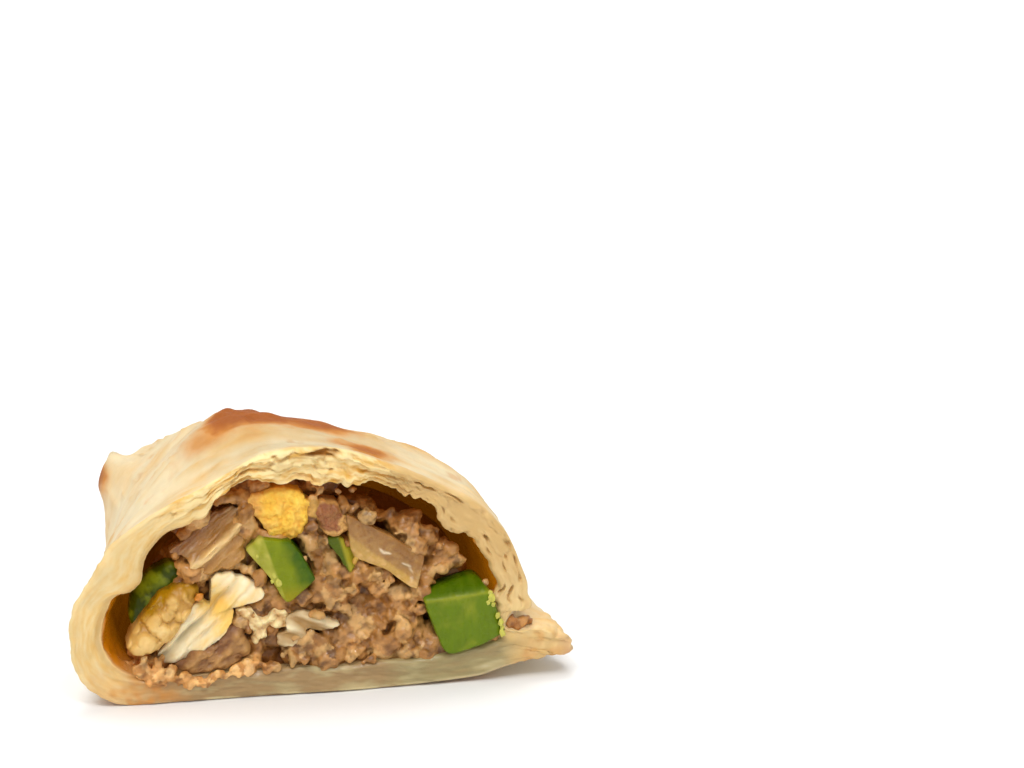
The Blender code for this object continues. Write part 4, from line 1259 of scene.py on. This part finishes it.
def morsel(node, slot, look, surface, front, depth, bulge, flat, ragged, outline):
    """A closed piece of food: a face with relief, a rounded edge and a plain back."""
    curve = spline_outline(outline)[0]
    length = arc_length(curve)
    wanted = np.linspace(0, length[-1], FACE_COLUMNS, endpoint=False)
    ring = np.stack([np.interp(wanted, length, curve[:, axis]) for axis in (0, 1)], -1)
    spot = flat_spot(ring[:, 0], ring[:, 1])
    ring = ring + outward(ring) * (ragged[0] * noises(spot, ragged[1], 131, 2))[:, None]
    middle = ring.mean(axis=0)

    behind = FACE_ROWS + EDGE_ROWS
    grid = np.zeros((behind + len(BACK_SHARES), FACE_COLUMNS, 3))
    tint = np.zeros(grid.shape)
    for i, share in enumerate(np.linspace(0.02, 1, FACE_ROWS) ** 0.85):
        x, z = (middle + (ring - middle) * share).T
        deeper, tint[i] = surface(x, z, share)
        u = ramp(share, flat, 1)
        y = front + bulge * (1 - math.sqrt(max(0, 1 - u * u))) + deeper
        grid[i] = np.stack([x, y, z], -1)
    tint[FACE_ROWS:] = tint[FACE_ROWS - 1] * SIDE_SHADE
    face_edge = grid[FACE_ROWS - 1]
    far = max(front + depth, face_edge[:, 1].max() + 0.5)
    for i, share in enumerate(np.linspace(0.15, 0.85, EDGE_ROWS), FACE_ROWS):
        grid[i] = face_edge
        grid[i, :, 1] = face_edge[:, 1] * (1 - share) + far * share
    for i, share in enumerate(BACK_SHARES, behind):
        x, z = (middle + (ring - middle) * share * 0.94).T
        grid[i] = np.stack([x, np.full(FACE_COLUMNS, far + 0.4 * (1 - share)), z], -1)
    thing = shell(node + "_food", grid, np.clip(tint, 0, 1))
    unit, faces = ball_mesh(3)
    for k, (centre, radius) in enumerate(SEEDS.get(node, [])):
        bumps = noise(unit + k * 3.7, 0.8, 133)
        points = unit * (radius * (1 + 0.4 * bumps))[:, None] * (0.9, 0.6, 1.15) + centre
        colours = np.clip(SEED * (1 + 0.15 * bumps[:, None]), 0, 1)
        join(thing, new_object(node + "_seed", points, faces.tolist(), colours))
    finish_piece(thing, node, LOOKS[look])


def join(thing, other):
    """Add another object's mesh to this one's."""
    solid = bmesh.new()
    solid.from_mesh(thing.data)
    solid.from_mesh(other.data)
    solid.to_mesh(thing.data)
    solid.free()
    mesh = other.data
    bpy.data.objects.remove(other)
    bpy.data.meshes.remove(mesh)


# Scene


# The floor lies a hair below z = 0. Each sun: name, azimuth, elevation, strength, softness, colour
FLOOR_DROP = -0.00002
FLOOR_BRIGHTNESS = 0.87
SKY_STRENGTH = 0.6
SUNS = [
    ("key", 30, 60, 1.38, 34, (1, 1, 0.99)),
    ("glint", -12, 52, 0.38, 3.5, (1, 1, 1)),
    ("back", 170, 78, 0.9, 24, (1, 1, 1)),
]


def add_sun(name, azimuth, elevation, strength, softness, colour):
    """A soft sun. azimuth is measured from straight ahead of the cut, towards the left."""
    light = bpy.data.lights.new(name, "SUN")
    light.energy = strength
    light.angle = math.radians(softness)
    light.color = colour
    lamp = linked(name, light)
    a, e = math.radians(azimuth), math.radians(elevation)
    toward = Vector((-math.sin(a) * math.cos(e), -math.cos(a) * math.cos(e), math.sin(e)))
    lamp.rotation_euler = (-toward).to_track_quat("-Z", "Y").to_euler()


def make_stage():
    bpy.ops.mesh.primitive_plane_add(size=4.0, location=(0, 0, FLOOR_DROP))
    floor = bpy.context.object
    floor.name = "floor"
    material = bpy.data.materials.new("floor_white")
    shader = node_group(material)[2]
    shader.inputs["Base Color"].default_value = (*[FLOOR_BRIGHTNESS] * 3, 1.0)
    shader.inputs["Roughness"].default_value = 0.7
    floor.data.materials.append(material)
    world = bpy.data.worlds.new("studio")
    bpy.context.scene.world = world
    world.use_nodes = True
    background = world.node_tree.nodes["Background"]
    background.inputs["Color"].default_value = (1.0, 1.0, 1.0, 1.0)
    background.inputs["Strength"].default_value = SKY_STRENGTH
    for sun in SUNS:
        add_sun(*sun)
    bpy.context.scene.view_settings.view_transform = "Standard"


def make_camera():
    data = bpy.data.cameras.new("photo_view")
    data.lens = LENS
    data.sensor_width = SENSOR
    camera = linked("photo_view", data)
    camera.rotation_euler = Euler((math.radians(90 - ELEVATION), 0, -math.radians(AZIMUTH)))
    turn = camera.rotation_euler.to_matrix()
    focal = PICTURE[0] * LENS / SENSOR
    across = (CUT_FOOT_PIXEL[0] - PICTURE[0] / 2) / focal
    up = -(CUT_FOOT_PIXEL[1] - PICTURE[1] / 2) / focal
    foot = Vector((0, CUT_SHIFT * MM, 0))
    camera.location = foot - turn @ Vector((across, up, -1)) * DISTANCE * MM
    data.clip_start = 0.01
    bpy.context.scene.camera = camera


LOOKS = {}


def main():
    make_camera()
    make_stage()
    dough = food_material("crust_dough", 0.55, 0.06, 1.6, 0.22, 0.12, coat=0.5, wet_and_glow_mask=True)
    finish_piece(make_crust(), "crust", dough)
    LOOKS.update(
        meat=food_material("beef_meat", 0.42, 0.14, 0.8, 0.5, 0.06, 0.15),
        pepper=food_material("pepper_skin", 0.3, 0.08, 1.2, 0.1, 0.1, 0.14, specular=0.14),
        crumbly=food_material("yolk_crumb", 0.6, 0.1, 0.6, 0.5, 0.15),
        egg=food_material("egg_white", 0.34, 0.06, 1.3, 0.2, 0.25, 0.2),
        moist=food_material("olive_flesh", 0.36, 0.1, 1.2, 0.3, 0.15, 0.2, 0.3),
        wet=food_material("onion_wet", 0.26, 0.1, 1.3, 0.3, 0.2, 0.35, 0.06),
    )
    beef = food_material("beef_mince", 0.4, 0.16, 0.7, 0.6, 0.06, 0.42, 0.1)
    finish_piece(make_filling(), "filling", beef)
    for item in MORSELS:
        morsel(*item)


main()
